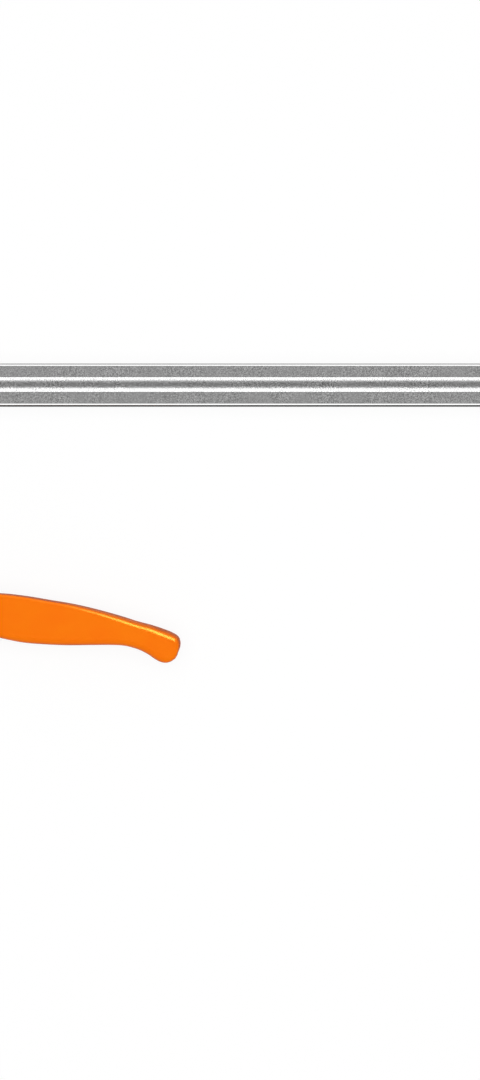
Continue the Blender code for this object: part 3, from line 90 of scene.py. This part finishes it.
class Finish:
    """A Principled material with helpers for the procedural nodes that feed it."""

    def __init__(self, name, **sockets):
        self.material = bpy.data.materials.new(name)
        self.material.use_nodes = True
        self.tree = self.material.node_tree
        self.shader = self.tree.nodes["Principled BSDF"]
        for socket, value in sockets.items():
            self.shader.inputs[socket.replace("_", " ")].default_value = value
        coordinates = self.tree.nodes.new("ShaderNodeTexCoord")
        self.place = coordinates.outputs["Object"]
        self.normal = coordinates.outputs["Normal"]

    def node(self, kind, **settings):
        made = self.tree.nodes.new(kind)
        for name, value in settings.items():
            setattr(made, name, value)
        return made

    def link(self, start, end):
        self.tree.links.new(start, end)

    def noise(self, scale, detail=3.0, roughness=0.55, stretch=(1, 1, 1)):
        """A noise of so many grains to the metre. A stretch below 1 draws them out along that axis."""
        mapping = self.node("ShaderNodeMapping")
        mapping.inputs["Scale"].default_value = stretch
        self.link(self.place, mapping.inputs["Vector"])
        noise = self.node("ShaderNodeTexNoise")
        noise.inputs["Scale"].default_value = scale
        noise.inputs["Detail"].default_value = detail
        noise.inputs["Roughness"].default_value = roughness
        self.link(mapping.outputs["Vector"], noise.inputs["Vector"])
        return noise.outputs["Fac"]

    def maths(self, operation, first, second=0.0):
        """A Math node over sockets or plain numbers."""
        made = self.node("ShaderNodeMath", operation=operation)
        for socket, value in zip(made.inputs, (first, second)):
            if isinstance(value, (int, float)):
                socket.default_value = value
            else:
                self.link(value, socket)
        return made.outputs[0]

    def spread(self, value, given, wanted):
        """Maps a value from one range to another, clamped."""
        ranged = self.node("ShaderNodeMapRange")
        for socket, number in zip(("From Min", "From Max", "To Min", "To Max"), (*given, *wanted)):
            ranged.inputs[socket].default_value = number
        self.link(value, ranged.inputs["Value"])
        return ranged.outputs["Result"]

    def vary(self, noise, low, high):
        """Maps a noise's usual range to another range, clamped."""
        return self.spread(noise, (NOISE_LOW, NOISE_HIGH), (low, high))

    def colours(self, value, *stops):
        """A colour ramp over a value. Each stop is (position, colour)."""
        ramp = self.node("ShaderNodeValToRGB")
        elements = ramp.color_ramp.elements
        elements[0].position, elements[0].color = stops[0][0], (*stops[0][1], 1)
        elements[1].position, elements[1].color = stops[-1][0], (*stops[-1][1], 1)
        for position, colour in stops[1:-1]:
            elements.new(position).color = (*colour, 1)
        self.link(value, ramp.inputs["Fac"])
        return ramp.outputs["Color"]

    def two_tone(self, noise, dark, light):
        """A colour that wanders from dark to light over a noise's usual range."""
        return self.colours(noise, (NOISE_LOW, dark), (NOISE_HIGH, light))

    def axes(self, vector):
        """A vector's X, Y and Z sockets."""
        separate = self.node("ShaderNodeSeparateXYZ")
        self.link(vector, separate.inputs[0])
        return separate.outputs

    def bump(self, *layers):
        """Stacks (height, strength, distance) layers of bump. A strength is a number or a socket."""
        normal = None
        for height, strength, distance in layers:
            bump = self.node("ShaderNodeBump")
            if isinstance(strength, (int, float)):
                bump.inputs["Strength"].default_value = strength
            else:
                self.link(strength, bump.inputs["Strength"])
            bump.inputs["Distance"].default_value = distance
            self.link(height, bump.inputs["Height"])
            if normal:
                self.link(normal, bump.inputs["Normal"])
            normal = bump.outputs["Normal"]
        self.link(normal, self.shader.inputs["Normal"])

    def feed(self, socket, value):
        self.link(value, self.shader.inputs[socket])


# The rail's grooves, measured from their middle: the floor darkened by painted shade, and the mottled part up to
# the lands
GROOVE_FLOOR = (0.0008, 0.0024)
GROOVE_MOTTLE = (0.0033, 0.0041)
# The patches in which the mottle comes and goes: the noise's range, and the mottle's strength
PATCH_NOISE = (0.38, 0.6)
PATCH_STRENGTH = (0.6, 1.35)
# Where the flats and the corners' painted-shade halves begin and end, as parts of the normal along an axis
FLAT_BEGINS = (0.955, 0.985)
CORNER_BEGINS = (0.69, 0.79)
CORNER_ENDS = (0.975, 0.998)
# The rail's middle tone, and the painted shade that the groove's floor and the corners' outer halves add to it
MIDDLE_TONE = 0.5
GROOVE_FLOOR_SHADE = -0.13
CORNER_PAINTED_SHADE = -0.3
# The roughness of the corners, to which the mottled parts add theirs
POLISHED_ROUGHNESS = 0.11
# Bump strengths
MOTTLE_ON_FLATS = 0.25
MOTTLE_IN_GROOVE = 0.8
LINES_ON_FLATS = 0.05


def drawn_steel():
    """Bright drawn rail steel: a fine mottle that comes and goes in patches, painted shade on the groove floor,
    and burnished corners with a painted dark line of shade on their outer halves."""
    finish = Finish("drawn_steel", Metallic=1.0, Specular_Tint=(0.0, 0.0, 0.0, 1))
    flat, corner = rail_masks(finish)
    groove = groove_mask(finish, GROOVE_MOTTLE)
    rough = finish.maths("MAXIMUM", flat, groove)
    mottle = finish.noise(1800, 3.0, 0.6)
    patches = finish.spread(finish.noise(70, 2.0), PATCH_NOISE, PATCH_STRENGTH)
    level = finish.maths("MULTIPLY", finish.maths("SUBTRACT", mottle, NOISE_MIDDLE), patches)
    # Painted shade: the groove's floor and the corners' outer halves are darkened in the base colour
    groove_floor_shade = finish.maths("MULTIPLY", groove_mask(finish, GROOVE_FLOOR), GROOVE_FLOOR_SHADE)
    painted_shade = finish.maths("ADD", groove_floor_shade, finish.maths("MULTIPLY", corner, CORNER_PAINTED_SHADE))
    tone = finish.maths("ADD", finish.maths("MULTIPLY", level, rough), painted_shade)
    finish.feed(
        "Base Color",
        finish.colours(
            finish.maths("ADD", tone, MIDDLE_TONE),
            (0.2, (0.16, 0.16, 0.16)),
            (MIDDLE_TONE, (0.54, 0.54, 0.54)),
            (0.8, (0.95, 0.95, 0.95)),
        ),
    )
    rubbed = finish.maths("MULTIPLY", finish.vary(finish.noise(220, 2.0), 0.08, 0.15), rough)
    finish.feed("Roughness", finish.maths("ADD", rubbed, POLISHED_ROUGHNESS))
    lines = finish.noise(900, 3.0, stretch=(0.03, 1, 1))
    on_flats = finish.maths("MULTIPLY", flat, MOTTLE_ON_FLATS)
    in_groove = finish.maths("MULTIPLY", groove, MOTTLE_IN_GROOVE)
    finish.bump(
        (mottle, finish.maths("ADD", on_flats, in_groove), 0.0001),
        (lines, finish.maths("MULTIPLY", flat, LINES_ON_FLATS), 0.00006),
    )
    return finish.material


def rail_masks(finish):
    """Two masks: 1 where the surface faces squarely along an axis, and 1 on the corners' outer halves, where
    painted shade goes.
    """
    along, across, up = (finish.maths("ABSOLUTE", axis) for axis in finish.axes(finish.normal))
    squarely = finish.maths("MAXIMUM", along, finish.maths("MAXIMUM", across, up))
    begins = finish.spread(across, CORNER_BEGINS, (0.0, 1.0))
    ends = finish.spread(across, CORNER_ENDS, (1.0, 0.0))
    return finish.spread(squarely, FLAT_BEGINS, (0.0, 1.0)), finish.maths("MULTIPLY", begins, ends)


def groove_mask(finish, reach):
    """1 in the middle of the rail's grooves, falling to 0 between the two distances of reach."""
    from_middle = finish.maths("SUBTRACT", finish.axes(finish.place)["Y"], RAIL_MIDDLE.y)
    return finish.spread(finish.maths("ABSOLUTE", from_middle), reach, (1.0, 0.0))


def plated_steel():
    """Zinc plated pins, rivets, pawl, lever core and jaw plate."""
    finish = Finish("plated_steel", Metallic=1.0)
    grain = finish.noise(900, 4.0, 0.6)
    finish.feed("Base Color", finish.two_tone(grain, (0.27, 0.277, 0.284), (0.4, 0.406, 0.412)))
    finish.feed("Roughness", finish.vary(finish.noise(300), 0.26, 0.42))
    finish.bump((grain, 0.2, 0.00008))
    return finish.material


def turned_steel():
    """Ground plunger steel, with fine rings round the X axis."""
    finish = Finish("turned_steel", Metallic=1.0)
    rings = finish.noise(2600, 2.0, 0.5, stretch=(1, 0.02, 0.02))
    finish.feed("Base Color", finish.two_tone(rings, (0.38, 0.385, 0.39), (0.5, 0.505, 0.51)))
    finish.feed("Roughness", finish.vary(rings, 0.18, 0.3))
    finish.bump((rings, 0.12, 0.00005))
    return finish.material


def spring_steel():
    """Dark springs and snap rings."""
    finish = Finish("spring_steel", Metallic=1.0, Roughness=0.35)
    grain = finish.noise(1400, 3.0)
    finish.feed("Base Color", finish.two_tone(grain, (0.2, 0.2, 0.21), (0.34, 0.34, 0.35)))
    finish.bump((grain, 0.1, 0.00005))
    return finish.material


def bearing_bronze():
    """Sintered bronze of the two bushes."""
    finish = Finish("bearing_bronze", Metallic=1.0, Roughness=0.38)
    grain = finish.noise(1800, 4.0, 0.65)
    finish.feed("Base Color", finish.two_tone(grain, (0.36, 0.22, 0.08), (0.52, 0.35, 0.15)))
    finish.bump((grain, 0.25, 0.00006))
    return finish.material


def powder_coat():
    """Black powder coat on a casting: orange peel over a slightly uneven skin, rubbed on its edges."""
    finish = Finish("powder_coat", Specular_IOR_Level=0.38)
    peel = finish.noise(850, 3.0, 0.5)
    skin = finish.noise(150, 3.0)
    pointiness = finish.node("ShaderNodeNewGeometry").outputs["Pointiness"]
    edges = finish.spread(pointiness, (0.53, 0.62), (0.0, 0.5))
    scuffs = finish.spread(finish.noise(320, 4.0, 0.7), (0.45, 0.6), (0.0, 1.0))
    worn = finish.node("ShaderNodeMix", data_type="RGBA")
    finish.link(finish.maths("MULTIPLY", edges, scuffs), worn.inputs[MIX_SHARE])
    coat = finish.two_tone(skin, (0.014, 0.0145, 0.016), (0.027, 0.028, 0.03))
    finish.link(coat, worn.inputs[MIX_FIRST])
    worn.inputs[MIX_SECOND].default_value = (0.11, 0.112, 0.118, 1)
    finish.feed("Base Color", worn.outputs[MIX_RESULT])
    finish.feed("Roughness", finish.vary(peel, 0.36, 0.5))
    finish.bump((skin, 0.35, 0.0004), (peel, 0.3, 0.00012))
    return finish.material


def cap_plastic():
    """Dark moulded plastic of the jaw caps, with a fine spark-eroded grain."""
    finish = Finish("cap_plastic")
    grain = finish.noise(2200, 2.0, 0.6)
    finish.feed("Base Color", finish.two_tone(grain, (0.02, 0.02, 0.022), (0.04, 0.04, 0.043)))
    finish.feed("Roughness", finish.vary(finish.noise(250), 0.44, 0.6))
    finish.bump((grain, 0.3, 0.00006))
    return finish.material


def orange_grip():
    """Smooth orange lacquer of the lever: glossy on its broad faces, and satin on its sides, which painted shade
    darkens. Its reflections are tinted, so its gloss looks golden."""
    finish = Finish(
        "orange_grip", Metallic=0.12, Specular_IOR_Level=0.28, Specular_Tint=(1.0, 0.62, 0.28, 1)
    )
    up = finish.maths("ABSOLUTE", finish.axes(finish.normal)["Z"])
    # Painted shade: the colour darkens where the surface turns away from the broad faces, down to the ramp's
    # darkest stop
    painted_side_shade = finish.spread(up, (0.1, 0.75), (0.5, 0.0))
    tone = finish.maths("SUBTRACT", finish.noise(60, 2.0), painted_side_shade)
    finish.feed(
        "Base Color",
        finish.colours(
            tone,
            (0.0, (0.58, 0.092, 0.0)),
            (NOISE_LOW, (1.0, 0.178, 0.0)),
            (NOISE_HIGH, (1.0, 0.2, 0.0)),
        ),
    )
    satin = finish.spread(up, (0.15, 0.5), (0.38, 0.0))
    gloss = finish.vary(finish.noise(500, 3.0), 0.18, 0.26)
    finish.feed("Roughness", finish.maths("ADD", gloss, satin))
    finish.bump((finish.noise(260, 2.0), 0.04, 0.0002))
    return finish.material


def stand_in(node, mesh, material):
    """A finer visible piece that rides on a CAD node's body and replaces that node."""
    piece = bpy.data.objects.new(node + "_fine", mesh)
    bpy.context.scene.collection.objects.link(piece)
    mesh.materials.clear()
    mesh.materials.append(material)
    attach(piece, body_of(node))
    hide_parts(node)
    return piece


def body_of(node):
    bodies = frame["record"]["behaviour"]["bodies"]
    return next(body for body, nodes in bodies.items() if node in nodes)


def slot_of(node):
    return next(row["material_slot"] for row in frame["record"]["subparts"] if row["node"] == node)


# Points nearer than this are welded, and faces that meet at a flatter angle than this become one
WELD_DISTANCE = 0.000002
FLAT_ANGLE = math.radians(0.6)
# Edges sharper than this are broken on the machined pieces, and stay sharp in the shading
EDGE_ANGLE = math.radians(32)
EDGE_SEGMENTS = 3
# How the castings' skin is built and smoothed
CAST_VOXEL = 0.00065
FLOW_FACTOR = 0.5
FLOW_ROUNDS = 8
# Edges sharper than this stay sharp in the shading of the lofted pieces
RAIL_SHARP_ANGLE = math.radians(30)
GRIP_SHARP_ANGLE = math.radians(40)


def mesh_from(work, name):
    """Turns a bmesh into a mesh whose faces look outward, and frees it."""
    bmesh.ops.recalc_face_normals(work, faces=work.faces)
    mesh = bpy.data.meshes.new(name)
    work.to_mesh(mesh)
    work.free()
    return mesh


def clean_copy(node):
    """The CAD node's mesh with its points welded and its flat faces made whole again."""
    work = bmesh.new()
    work.from_mesh(NODES[node].data)
    bmesh.ops.remove_doubles(work, verts=work.verts, dist=WELD_DISTANCE)
    bmesh.ops.dissolve_limit(
        work, angle_limit=FLAT_ANGLE, verts=work.verts, edges=work.edges, use_dissolve_boundaries=False
    )
    return mesh_from(work, node + "_fine")


def bevelled(node, material, width):
    """The CAD node again with its sharp edges broken."""
    piece = stand_in(node, clean_copy(node), material)
    bevel = piece.modifiers.new("edges", "BEVEL")
    bevel.width = width
    bevel.segments = EDGE_SEGMENTS
    bevel.limit_method = "ANGLE"
    bevel.angle_limit = EDGE_ANGLE
    bevel.miter_outer = "MITER_ARC"
    bevel.harden_normals = True
    piece.data.shade_smooth()
    piece.data.set_sharp_from_angle(angle=EDGE_ANGLE)


def cast(node, material, voxel):
    """The CAD arm again as a casting: its edges and inner corners flow into small roundings."""
    piece = stand_in(node, clean_copy(node), material)
    remesh = piece.modifiers.new("skin", "REMESH")
    remesh.mode = "VOXEL"
    remesh.voxel_size = voxel
    smooth = piece.modifiers.new("flow", "SMOOTH")
    smooth.factor = FLOW_FACTOR
    smooth.iterations = FLOW_ROUNDS
    apply_modifiers(piece)
    piece.data.shade_smooth()


FLOOR_HALF_SIZE = 6
FLOOR_MIDDLE = (0.2, 0.06)
FLOOR_DROP = 0.0002
FLOOR_COLOUR = (0.12, 0.12, 0.12, 1)
# The white that camera and mirrors see on the floor
FLOOR_GLOW = 0.89


def make_floor():
    """A white floor: mostly seen as plain white by camera and mirrors, but it keeps a soft shadow."""
    work = bmesh.new()
    bmesh.ops.create_grid(work, x_segments=1, y_segments=1, size=FLOOR_HALF_SIZE)
    mesh = mesh_from(work, "studio_floor")
    floor = bpy.data.objects.new("studio_floor", mesh)
    bpy.context.scene.collection.objects.link(floor)
    floor.location = (*FLOOR_MIDDLE, FLOOR_Z - FLOOR_DROP)

    material = bpy.data.materials.new("studio_floor")
    material.use_nodes = True
    tree = material.node_tree
    tree.nodes.clear()
    path = tree.nodes.new("ShaderNodeLightPath")
    seen = path.outputs["Is Camera Ray"]
    for ray in ("Is Glossy Ray", "Is Transmission Ray"):
        either = tree.nodes.new("ShaderNodeMath")
        either.operation = "MAXIMUM"
        tree.links.new(seen, either.inputs[0])
        tree.links.new(path.outputs[ray], either.inputs[1])
        seen = either.outputs[0]
    strength = tree.nodes.new("ShaderNodeMath")
    strength.operation = "MULTIPLY"
    strength.inputs[1].default_value = FLOOR_GLOW
    tree.links.new(seen, strength.inputs[0])
    glow = tree.nodes.new("ShaderNodeEmission")
    tree.links.new(strength.outputs[0], glow.inputs["Strength"])
    diffuse = tree.nodes.new("ShaderNodeBsdfDiffuse")
    diffuse.inputs["Color"].default_value = FLOOR_COLOUR
    both = tree.nodes.new("ShaderNodeAddShader")
    tree.links.new(diffuse.outputs[0], both.inputs[0])
    tree.links.new(glow.outputs[0], both.inputs[1])
    out = tree.nodes.new("ShaderNodeOutputMaterial")
    tree.links.new(both.outputs[0], out.inputs["Surface"])
    mesh.materials.append(material)


# The world as mirrors see it: (height, colour), where 0 is the horizon and 1 is straight up
WORLD_WALL = (0.74, (1, 1, 1, 1))
WORLD_CEILING = (0.95, (0.5, 0.5, 0.5, 1))
# The plain light that it gives to matt surfaces
WORLD_LIGHT = (0.4, 0.4, 0.4, 1)


def make_world():
    """White walls and a greyer ceiling in reflections, and one plain colour as light."""
    world = bpy.data.worlds.new("studio")
    bpy.context.scene.world = world
    world.use_nodes = True
    tree = world.node_tree
    coordinates = tree.nodes.new("ShaderNodeTexCoord")
    axes = tree.nodes.new("ShaderNodeSeparateXYZ")
    tree.links.new(coordinates.outputs["Generated"], axes.inputs[0])
    ramp = tree.nodes.new("ShaderNodeValToRGB")
    ramp.color_ramp.interpolation = "EASE"
    for element, (height, colour) in zip(ramp.color_ramp.elements, (WORLD_WALL, WORLD_CEILING)):
        element.position = height
        element.color = colour
    tree.links.new(axes.outputs["Z"], ramp.inputs["Fac"])
    path = tree.nodes.new("ShaderNodeLightPath")
    plain = tree.nodes.new("ShaderNodeMix")
    plain.data_type = "RGBA"
    tree.links.new(path.outputs["Is Diffuse Ray"], plain.inputs[MIX_SHARE])
    tree.links.new(ramp.outputs["Color"], plain.inputs[MIX_FIRST])
    plain.inputs[MIX_SECOND].default_value = WORLD_LIGHT
    tree.links.new(plain.outputs[MIX_RESULT], tree.nodes["Background"].inputs["Color"])


# Each lamp: its azimuth and its angle from straight up in degrees, its distance, size and radiance
OVERHEAD = (0, 0, 1.5, (1.2, 1.2), 3.1)
KEY = (63, 52, 1.3, (0.5, 0.7), 16.0)
UPPER_BANK = (90, 60, 1.3, (2.6, 1.1), 1.1)
LOWER_BANK = (-90, 60, 1.3, (2.6, 1.1), 1.2)


def make_lamps(centre, grip):
    """The overhead lamp gives the light, and the others give gleams: the key on the grip alone, the lower
    bank on all but the grip."""
    overhead = softbox("overhead", centre, *OVERHEAD)
    overhead.visible_glossy = False
    key = softbox("key", pixel_place(*LEVER_PIXEL), *KEY)
    light_link(key, grip, "INCLUDE")
    upper_bank = softbox("upper_bank", centre, *UPPER_BANK)
    lower_bank = softbox("lower_bank", centre, *LOWER_BANK)
    light_link(lower_bank, grip, "EXCLUDE")
    for gleam in (key, upper_bank, lower_bank):
        gleam.visible_diffuse = False


def make_camera(centre):
    """Looks straight down on the rail's top, with the photograph's whole height in view."""
    data = bpy.data.cameras.new("photo_camera")
    data.type = "PERSP"
    data.sensor_fit = "AUTO"
    data.sensor_width = SENSOR
    data.lens = SENSOR * CAMERA_DISTANCE / (PHOTO_HEIGHT * METRES_PER_PIXEL)
    data.clip_start = CAMERA_CLIP
    camera = bpy.data.objects.new("photo_camera", data)
    bpy.context.scene.collection.objects.link(camera)
    camera.location = (centre.x, centre.y, RAIL_HIGH.z + CAMERA_DISTANCE)
    bpy.context.scene.camera = camera


def softbox(name, target, azimuth, from_zenith, distance, size, radiance):
    """A lamp that faces its target. Azimuth counts from +X towards +Y, and radiance is its brightness."""
    azimuth = math.radians(azimuth)
    from_zenith = math.radians(from_zenith)
    away = Vector(
        (
            math.sin(from_zenith) * math.cos(azimuth),
            math.sin(from_zenith) * math.sin(azimuth),
            math.cos(from_zenith),
        )
    )
    light = bpy.data.lights.new(name, "AREA")
    light.shape = "RECTANGLE"
    light.size, light.size_y = size
    light.energy = radiance * math.pi * size[0] * size[1]
    lamp = bpy.data.objects.new(name, light)
    bpy.context.scene.collection.objects.link(lamp)
    lamp.location = target + away * distance
    lamp.rotation_euler = away.to_track_quat("Z", "Y").to_euler()
    return lamp


def light_link(lamp, piece, state):
    """Lets a lamp shine on one piece alone (INCLUDE), or on all but that piece (EXCLUDE)."""
    receivers = bpy.data.collections.new(lamp.name + "_receivers")
    receivers.objects.link(piece)
    receivers.collection_objects[0].light_linking.link_state = state
    lamp.light_linking.receiver_collection = receivers


def arc(centre, radius, start, end, steps):
    """Points on an arc between two angles in degrees."""
    points = []
    for i in range(steps + 1):
        angle = math.radians(start + (end - start) * i / steps)
        points.append((centre[0] + radius * math.cos(angle), centre[1] + radius * math.sin(angle)))
    return points


# The rail's section, its ends and the hole for its stop pin
CORNER_RADIUS = 0.0016
CORNER_ARC_STEPS = 10
GROOVE_ARC_STEPS = 28
GROOVE_WIDTH = 0.0075
GROOVE_DEPTH = 0.0012
END_CHAMFER = 0.0006
STOP_PIN_RADIUS = 0.003
HOLE_PLAY = 0.0003
HOLE_SEGMENTS = 48
CUTTER_LENGTH = 0.1


def rail_outline():
    """The rail's section about its middle, as (across, up)."""
    mouth = GROOVE_WIDTH / 2
    radius = (mouth**2 + GROOVE_DEPTH**2) / (2 * GROOVE_DEPTH)
    centre = RAIL_HALF.z - GROOVE_DEPTH + radius
    opening = math.degrees(math.asin(mouth / radius))
    corner = (RAIL_HALF.y - CORNER_RADIUS, RAIL_HALF.z - CORNER_RADIUS)
    points = arc((corner[0], -corner[1]), CORNER_RADIUS, -90, 0, CORNER_ARC_STEPS)
    points += arc(corner, CORNER_RADIUS, 0, 90, CORNER_ARC_STEPS)
    points += arc((0, centre), radius, -90 + opening, -90 - opening, GROOVE_ARC_STEPS)
    return points + [(-x, -y) for x, y in points]


def make_rail(material):
    """The rail again with finer rounds and chamfered ends."""
    outline = rail_outline()
    stations = (
        (RAIL_LOW.x, END_CHAMFER),
        (RAIL_LOW.x + END_CHAMFER, 0.0),
        (RAIL_HIGH.x - END_CHAMFER, 0.0),
        (RAIL_HIGH.x, END_CHAMFER),
    )
    work = bmesh.new()
    rings = []
    for x, inset in stations:
        across = 1 - inset / RAIL_HALF.y
        up = 1 - inset / RAIL_HALF.z
        ring = [(x, RAIL_MIDDLE.y + a * across, RAIL_MIDDLE.z + b * up) for a, b in outline]
        rings.append([work.verts.new(point) for point in ring])
    rail = stand_in("rail", lofted(work, rings, "rail_fine", RAIL_SHARP_ANGLE), material)
    pin_low, pin_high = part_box("rail_stop_pin")
    bore_through(rail, (pin_low + pin_high) / 2, STOP_PIN_RADIUS + HOLE_PLAY)


def lofted(work, rings, name, sharp_angle):
    """A smooth closed mesh through rings of points, with flat ends."""
    for ring, following in zip(rings, rings[1:]):
        for i in range(len(ring)):
            j = (i + 1) % len(ring)
            work.faces.new((ring[i], ring[j], following[j], following[i]))
    work.faces.new(rings[0])
    work.faces.new(rings[-1])
    mesh = mesh_from(work, name)
    mesh.shade_smooth()
    mesh.set_sharp_from_angle(angle=sharp_angle)
    return mesh


def bore_through(piece, place, radius):
    """Cuts a round hole along Z and leaves only the cut mesh."""
    work = bmesh.new()
    bmesh.ops.create_cone(
        work, cap_ends=True, segments=HOLE_SEGMENTS, radius1=radius, radius2=radius, depth=CUTTER_LENGTH
    )
    cutter = bpy.data.objects.new("bore", mesh_from(work, "bore"))
    bpy.context.scene.collection.objects.link(cutter)
    cutter.location = place
    modifier = piece.modifiers.new("bore", "BOOLEAN")
    modifier.operation = "DIFFERENCE"
    modifier.solver = "EXACT"
    modifier.object = cutter
    apply_modifiers(piece)
    bpy.data.objects.remove(cutter)


def apply_modifiers(piece):
    """Puts what the modifiers make in the place of the piece's mesh."""
    bpy.context.view_layer.update()
    graph = bpy.context.evaluated_depsgraph_get()
    mesh = bpy.data.meshes.new_from_object(piece.evaluated_get(graph), depsgraph=graph)
    mesh.name = piece.name
    piece.modifiers.clear()
    piece.data = mesh


# The grip's sections from neck to tip. Top x, top y, bottom x and bottom y are shares of REACH from the
# pivot. The rest are shares of GRIP_WIDTH: width, then the roundings of the top edges, in the
# outline's plane and across it, and of the bottom edges.
REACH = 0.1508
GRIP_WIDTH = 0.020
GRIP_TIP_EDGE = 0.0010
GRIP_TIP_BULGE = 0.0003
GRIP_SHARES = (
    (0.1724, 0.1760, 0.1724, 0.0960, 0.830, 0.120, 0.070, 0.120),
    (0.2255, 0.1900, 0.2255, 0.0850, 0.875, 0.130, 0.070, 0.130),
    (0.2980, 0.1975, 0.2950, 0.0655, 0.930, 0.140, 0.065, 0.140),
    (0.3790, 0.1963, 0.3780, 0.0458, 0.975, 0.140, 0.065, 0.150),
    (0.4620, 0.1871, 0.4575, 0.0297, 1.000, 0.140, 0.065, 0.160),
    (0.5450, 0.1733, 0.5370, 0.0229, 1.000, 0.140, 0.070, 0.165),
    (0.6270, 0.1595, 0.6135, 0.0199, 0.995, 0.140, 0.085, 0.165),
    (0.7100, 0.1406, 0.6900, 0.0205, 0.985, 0.145, 0.125, 0.165),
    (0.7930, 0.1178, 0.7625, 0.0208, 0.970, 0.172, 0.165, 0.165),
    (0.8490, 0.1002, 0.8090, 0.0180, 0.955, 0.190, 0.185, 0.165),
    (0.9020, 0.0863, 0.8520, 0.0068, 0.940, 0.220, 0.215, 0.165),
    (0.9416, 0.0733, 0.8850, -0.0085, 0.930, 0.250, 0.240, 0.165),
    (0.9720, 0.0610, 0.9120, -0.0268, 0.920, 0.245, 0.235, 0.160),
    (0.9922, 0.0474, 0.9290, -0.0362, 0.910, 0.205, 0.190, 0.150),
    (0.9993, 0.0305, 0.9450, -0.0404, 0.900, 0.165, 0.155, 0.135),
    (0.9992, 0.0140, 0.9590, -0.0396, 0.890, 0.130, 0.130, 0.120),
    (0.9948, -0.0008, 0.9715, -0.0348, 0.870, 0.100, 0.110, 0.100),
    (0.9898, -0.0125, 0.9800, -0.0285, 0.810, 0.070, 0.090, 0.080),
)
GRIP_SAMPLES = 10
CORNER_STEPS = 12
# The largest rounding, as a share of the half side that it lies on
FULLEST_ROUND = 0.98


def smooth_between(values, position):
    """Catmull-Rom value at a position counted in stations."""
    last = len(values) - 1
    index = min(int(position), last - 1)
    t = position - index
    before = values[max(index - 1, 0)]
    start = values[index]
    end = values[index + 1]
    after = values[min(index + 2, last)]
    return 0.5 * (
        2 * start
        + (end - before) * t
        + (2 * before - 5 * start + 4 * end - after) * t**2
        + (3 * start - before - 3 * end + after) * t**3
    )


def grip_section(half_height, half_width, top_drop, top_side, bottom, shrink):
    """Points round a section, as (along its height, along its width), drawn in on all sides by shrink."""
    points = []
    for up, side, drop, inset, start in (
        (1, 1, top_drop, top_side, 90),
        (1, -1, top_drop, top_side, 0),
        (-1, -1, bottom, bottom, -90),
        (-1, 1, bottom, bottom, -180),
    ):
        drop = min(drop, half_height * FULLEST_ROUND)
        inset = min(inset, half_width * FULLEST_ROUND)
        for i in range(CORNER_STEPS + 1):
            angle = math.radians(start - 90 * i / CORNER_STEPS)
            height = up * (half_height - drop) + drop * math.cos(angle)
            width = side * (half_width - inset) + inset * math.sin(angle)
            points.append((height * (1 - shrink / half_height), width * (1 - shrink / half_width)))
    return points


def make_grip(material):
    """The grip again, lofted through more sections and with a finely rounded tip."""
    rows = []
    for top_x, top_y, bottom_x, bottom_y, *across in GRIP_SHARES:
        ends = [Vector((top_x, top_y)) * REACH, Vector((bottom_x, bottom_y)) * REACH]
        rows.append(ends + [share * GRIP_WIDTH for share in across])
    columns = list(zip(*rows))
    last = len(GRIP_SHARES) - 1
    levels = [(i / GRIP_SAMPLES, 0.0, 0.0) for i in range(last * GRIP_SAMPLES + 1)]
    for i in range(1, CORNER_STEPS + 1):
        angle = math.radians(90 * i / CORNER_STEPS)
        levels.append((last, GRIP_TIP_BULGE * math.sin(angle), GRIP_TIP_EDGE * (1 - math.cos(angle))))
    work = bmesh.new()
    rings = []
    for position, outward, shrink in levels:
        top, bottom, width, *rounding = (smooth_between(column, position) for column in columns)
        up = (top - bottom).normalized()
        middle = (top + bottom) / 2 + Vector((up.y, -up.x)) * outward
        section = grip_section((top - bottom).length / 2, width / 2, *rounding, shrink)
        ring = []
        for height, across in section:
            point = middle + up * height
            ring.append(work.verts.new((PIVOT.x + point.x, PIVOT.y + point.y, across)))
        rings.append(ring)
    mesh = lofted(work, rings, "lever_grip_fine", GRIP_SHARP_ANGLE)
    return stand_in("lever_grip", mesh, material)


# How far the sharp edges of the machined pieces are broken
EDGES = {
    "rail_stop_pin": 0.0003,
    "fixed_arm_rivet_front": 0.0002,
    "fixed_arm_rivet_rear": 0.0002,
    "fixed_pad_cap": 0.0004,
    "moving_pad_cap": 0.0004,
    "guide_bush": 0.0003,
    "friction_pin_front": 0.0004,
    "friction_pin_rear": 0.0004,
    "lever_pivot_pin": 0.0002,
    "pawl_pin": 0.0002,
    "plunger": 0.0002,
    "pressure_plate": 0.0004,
    "lever_core": 0.0003,
    "pawl": 0.0003,
    "grip_rivet_inner": 0.0002,
    "grip_rivet_outer": 0.0002,
}


def main():
    bpy.context.scene.view_settings.view_transform = "Standard"
    orange = orange_grip()
    finishes = {
        "rail_steel": turned_steel(),
        "machined_steel": plated_steel(),
        "casting": powder_coat(),
        "grip": orange,
        "pad_cap": cap_plastic(),
        "spring_steel": spring_steel(),
        "bronze": bearing_bronze(),
    }
    for name, node in NODES.items():
        node.data.materials.clear()
        node.data.materials.append(finishes[slot_of(name)])
    make_rail(drawn_steel())
    grip = make_grip(orange)
    voxel = CAST_VOXEL
    for name in ("fixed_arm", "sliding_arm"):
        cast(name, finishes["casting"], voxel)
    for name, width in EDGES.items():
        bevelled(name, finishes[slot_of(name)], width)
    centre = pixel_place(PHOTO_WIDTH / 2, PHOTO_HEIGHT / 2)
    make_floor()
    make_world()
    make_lamps(centre, grip)
    make_camera(centre)


main()
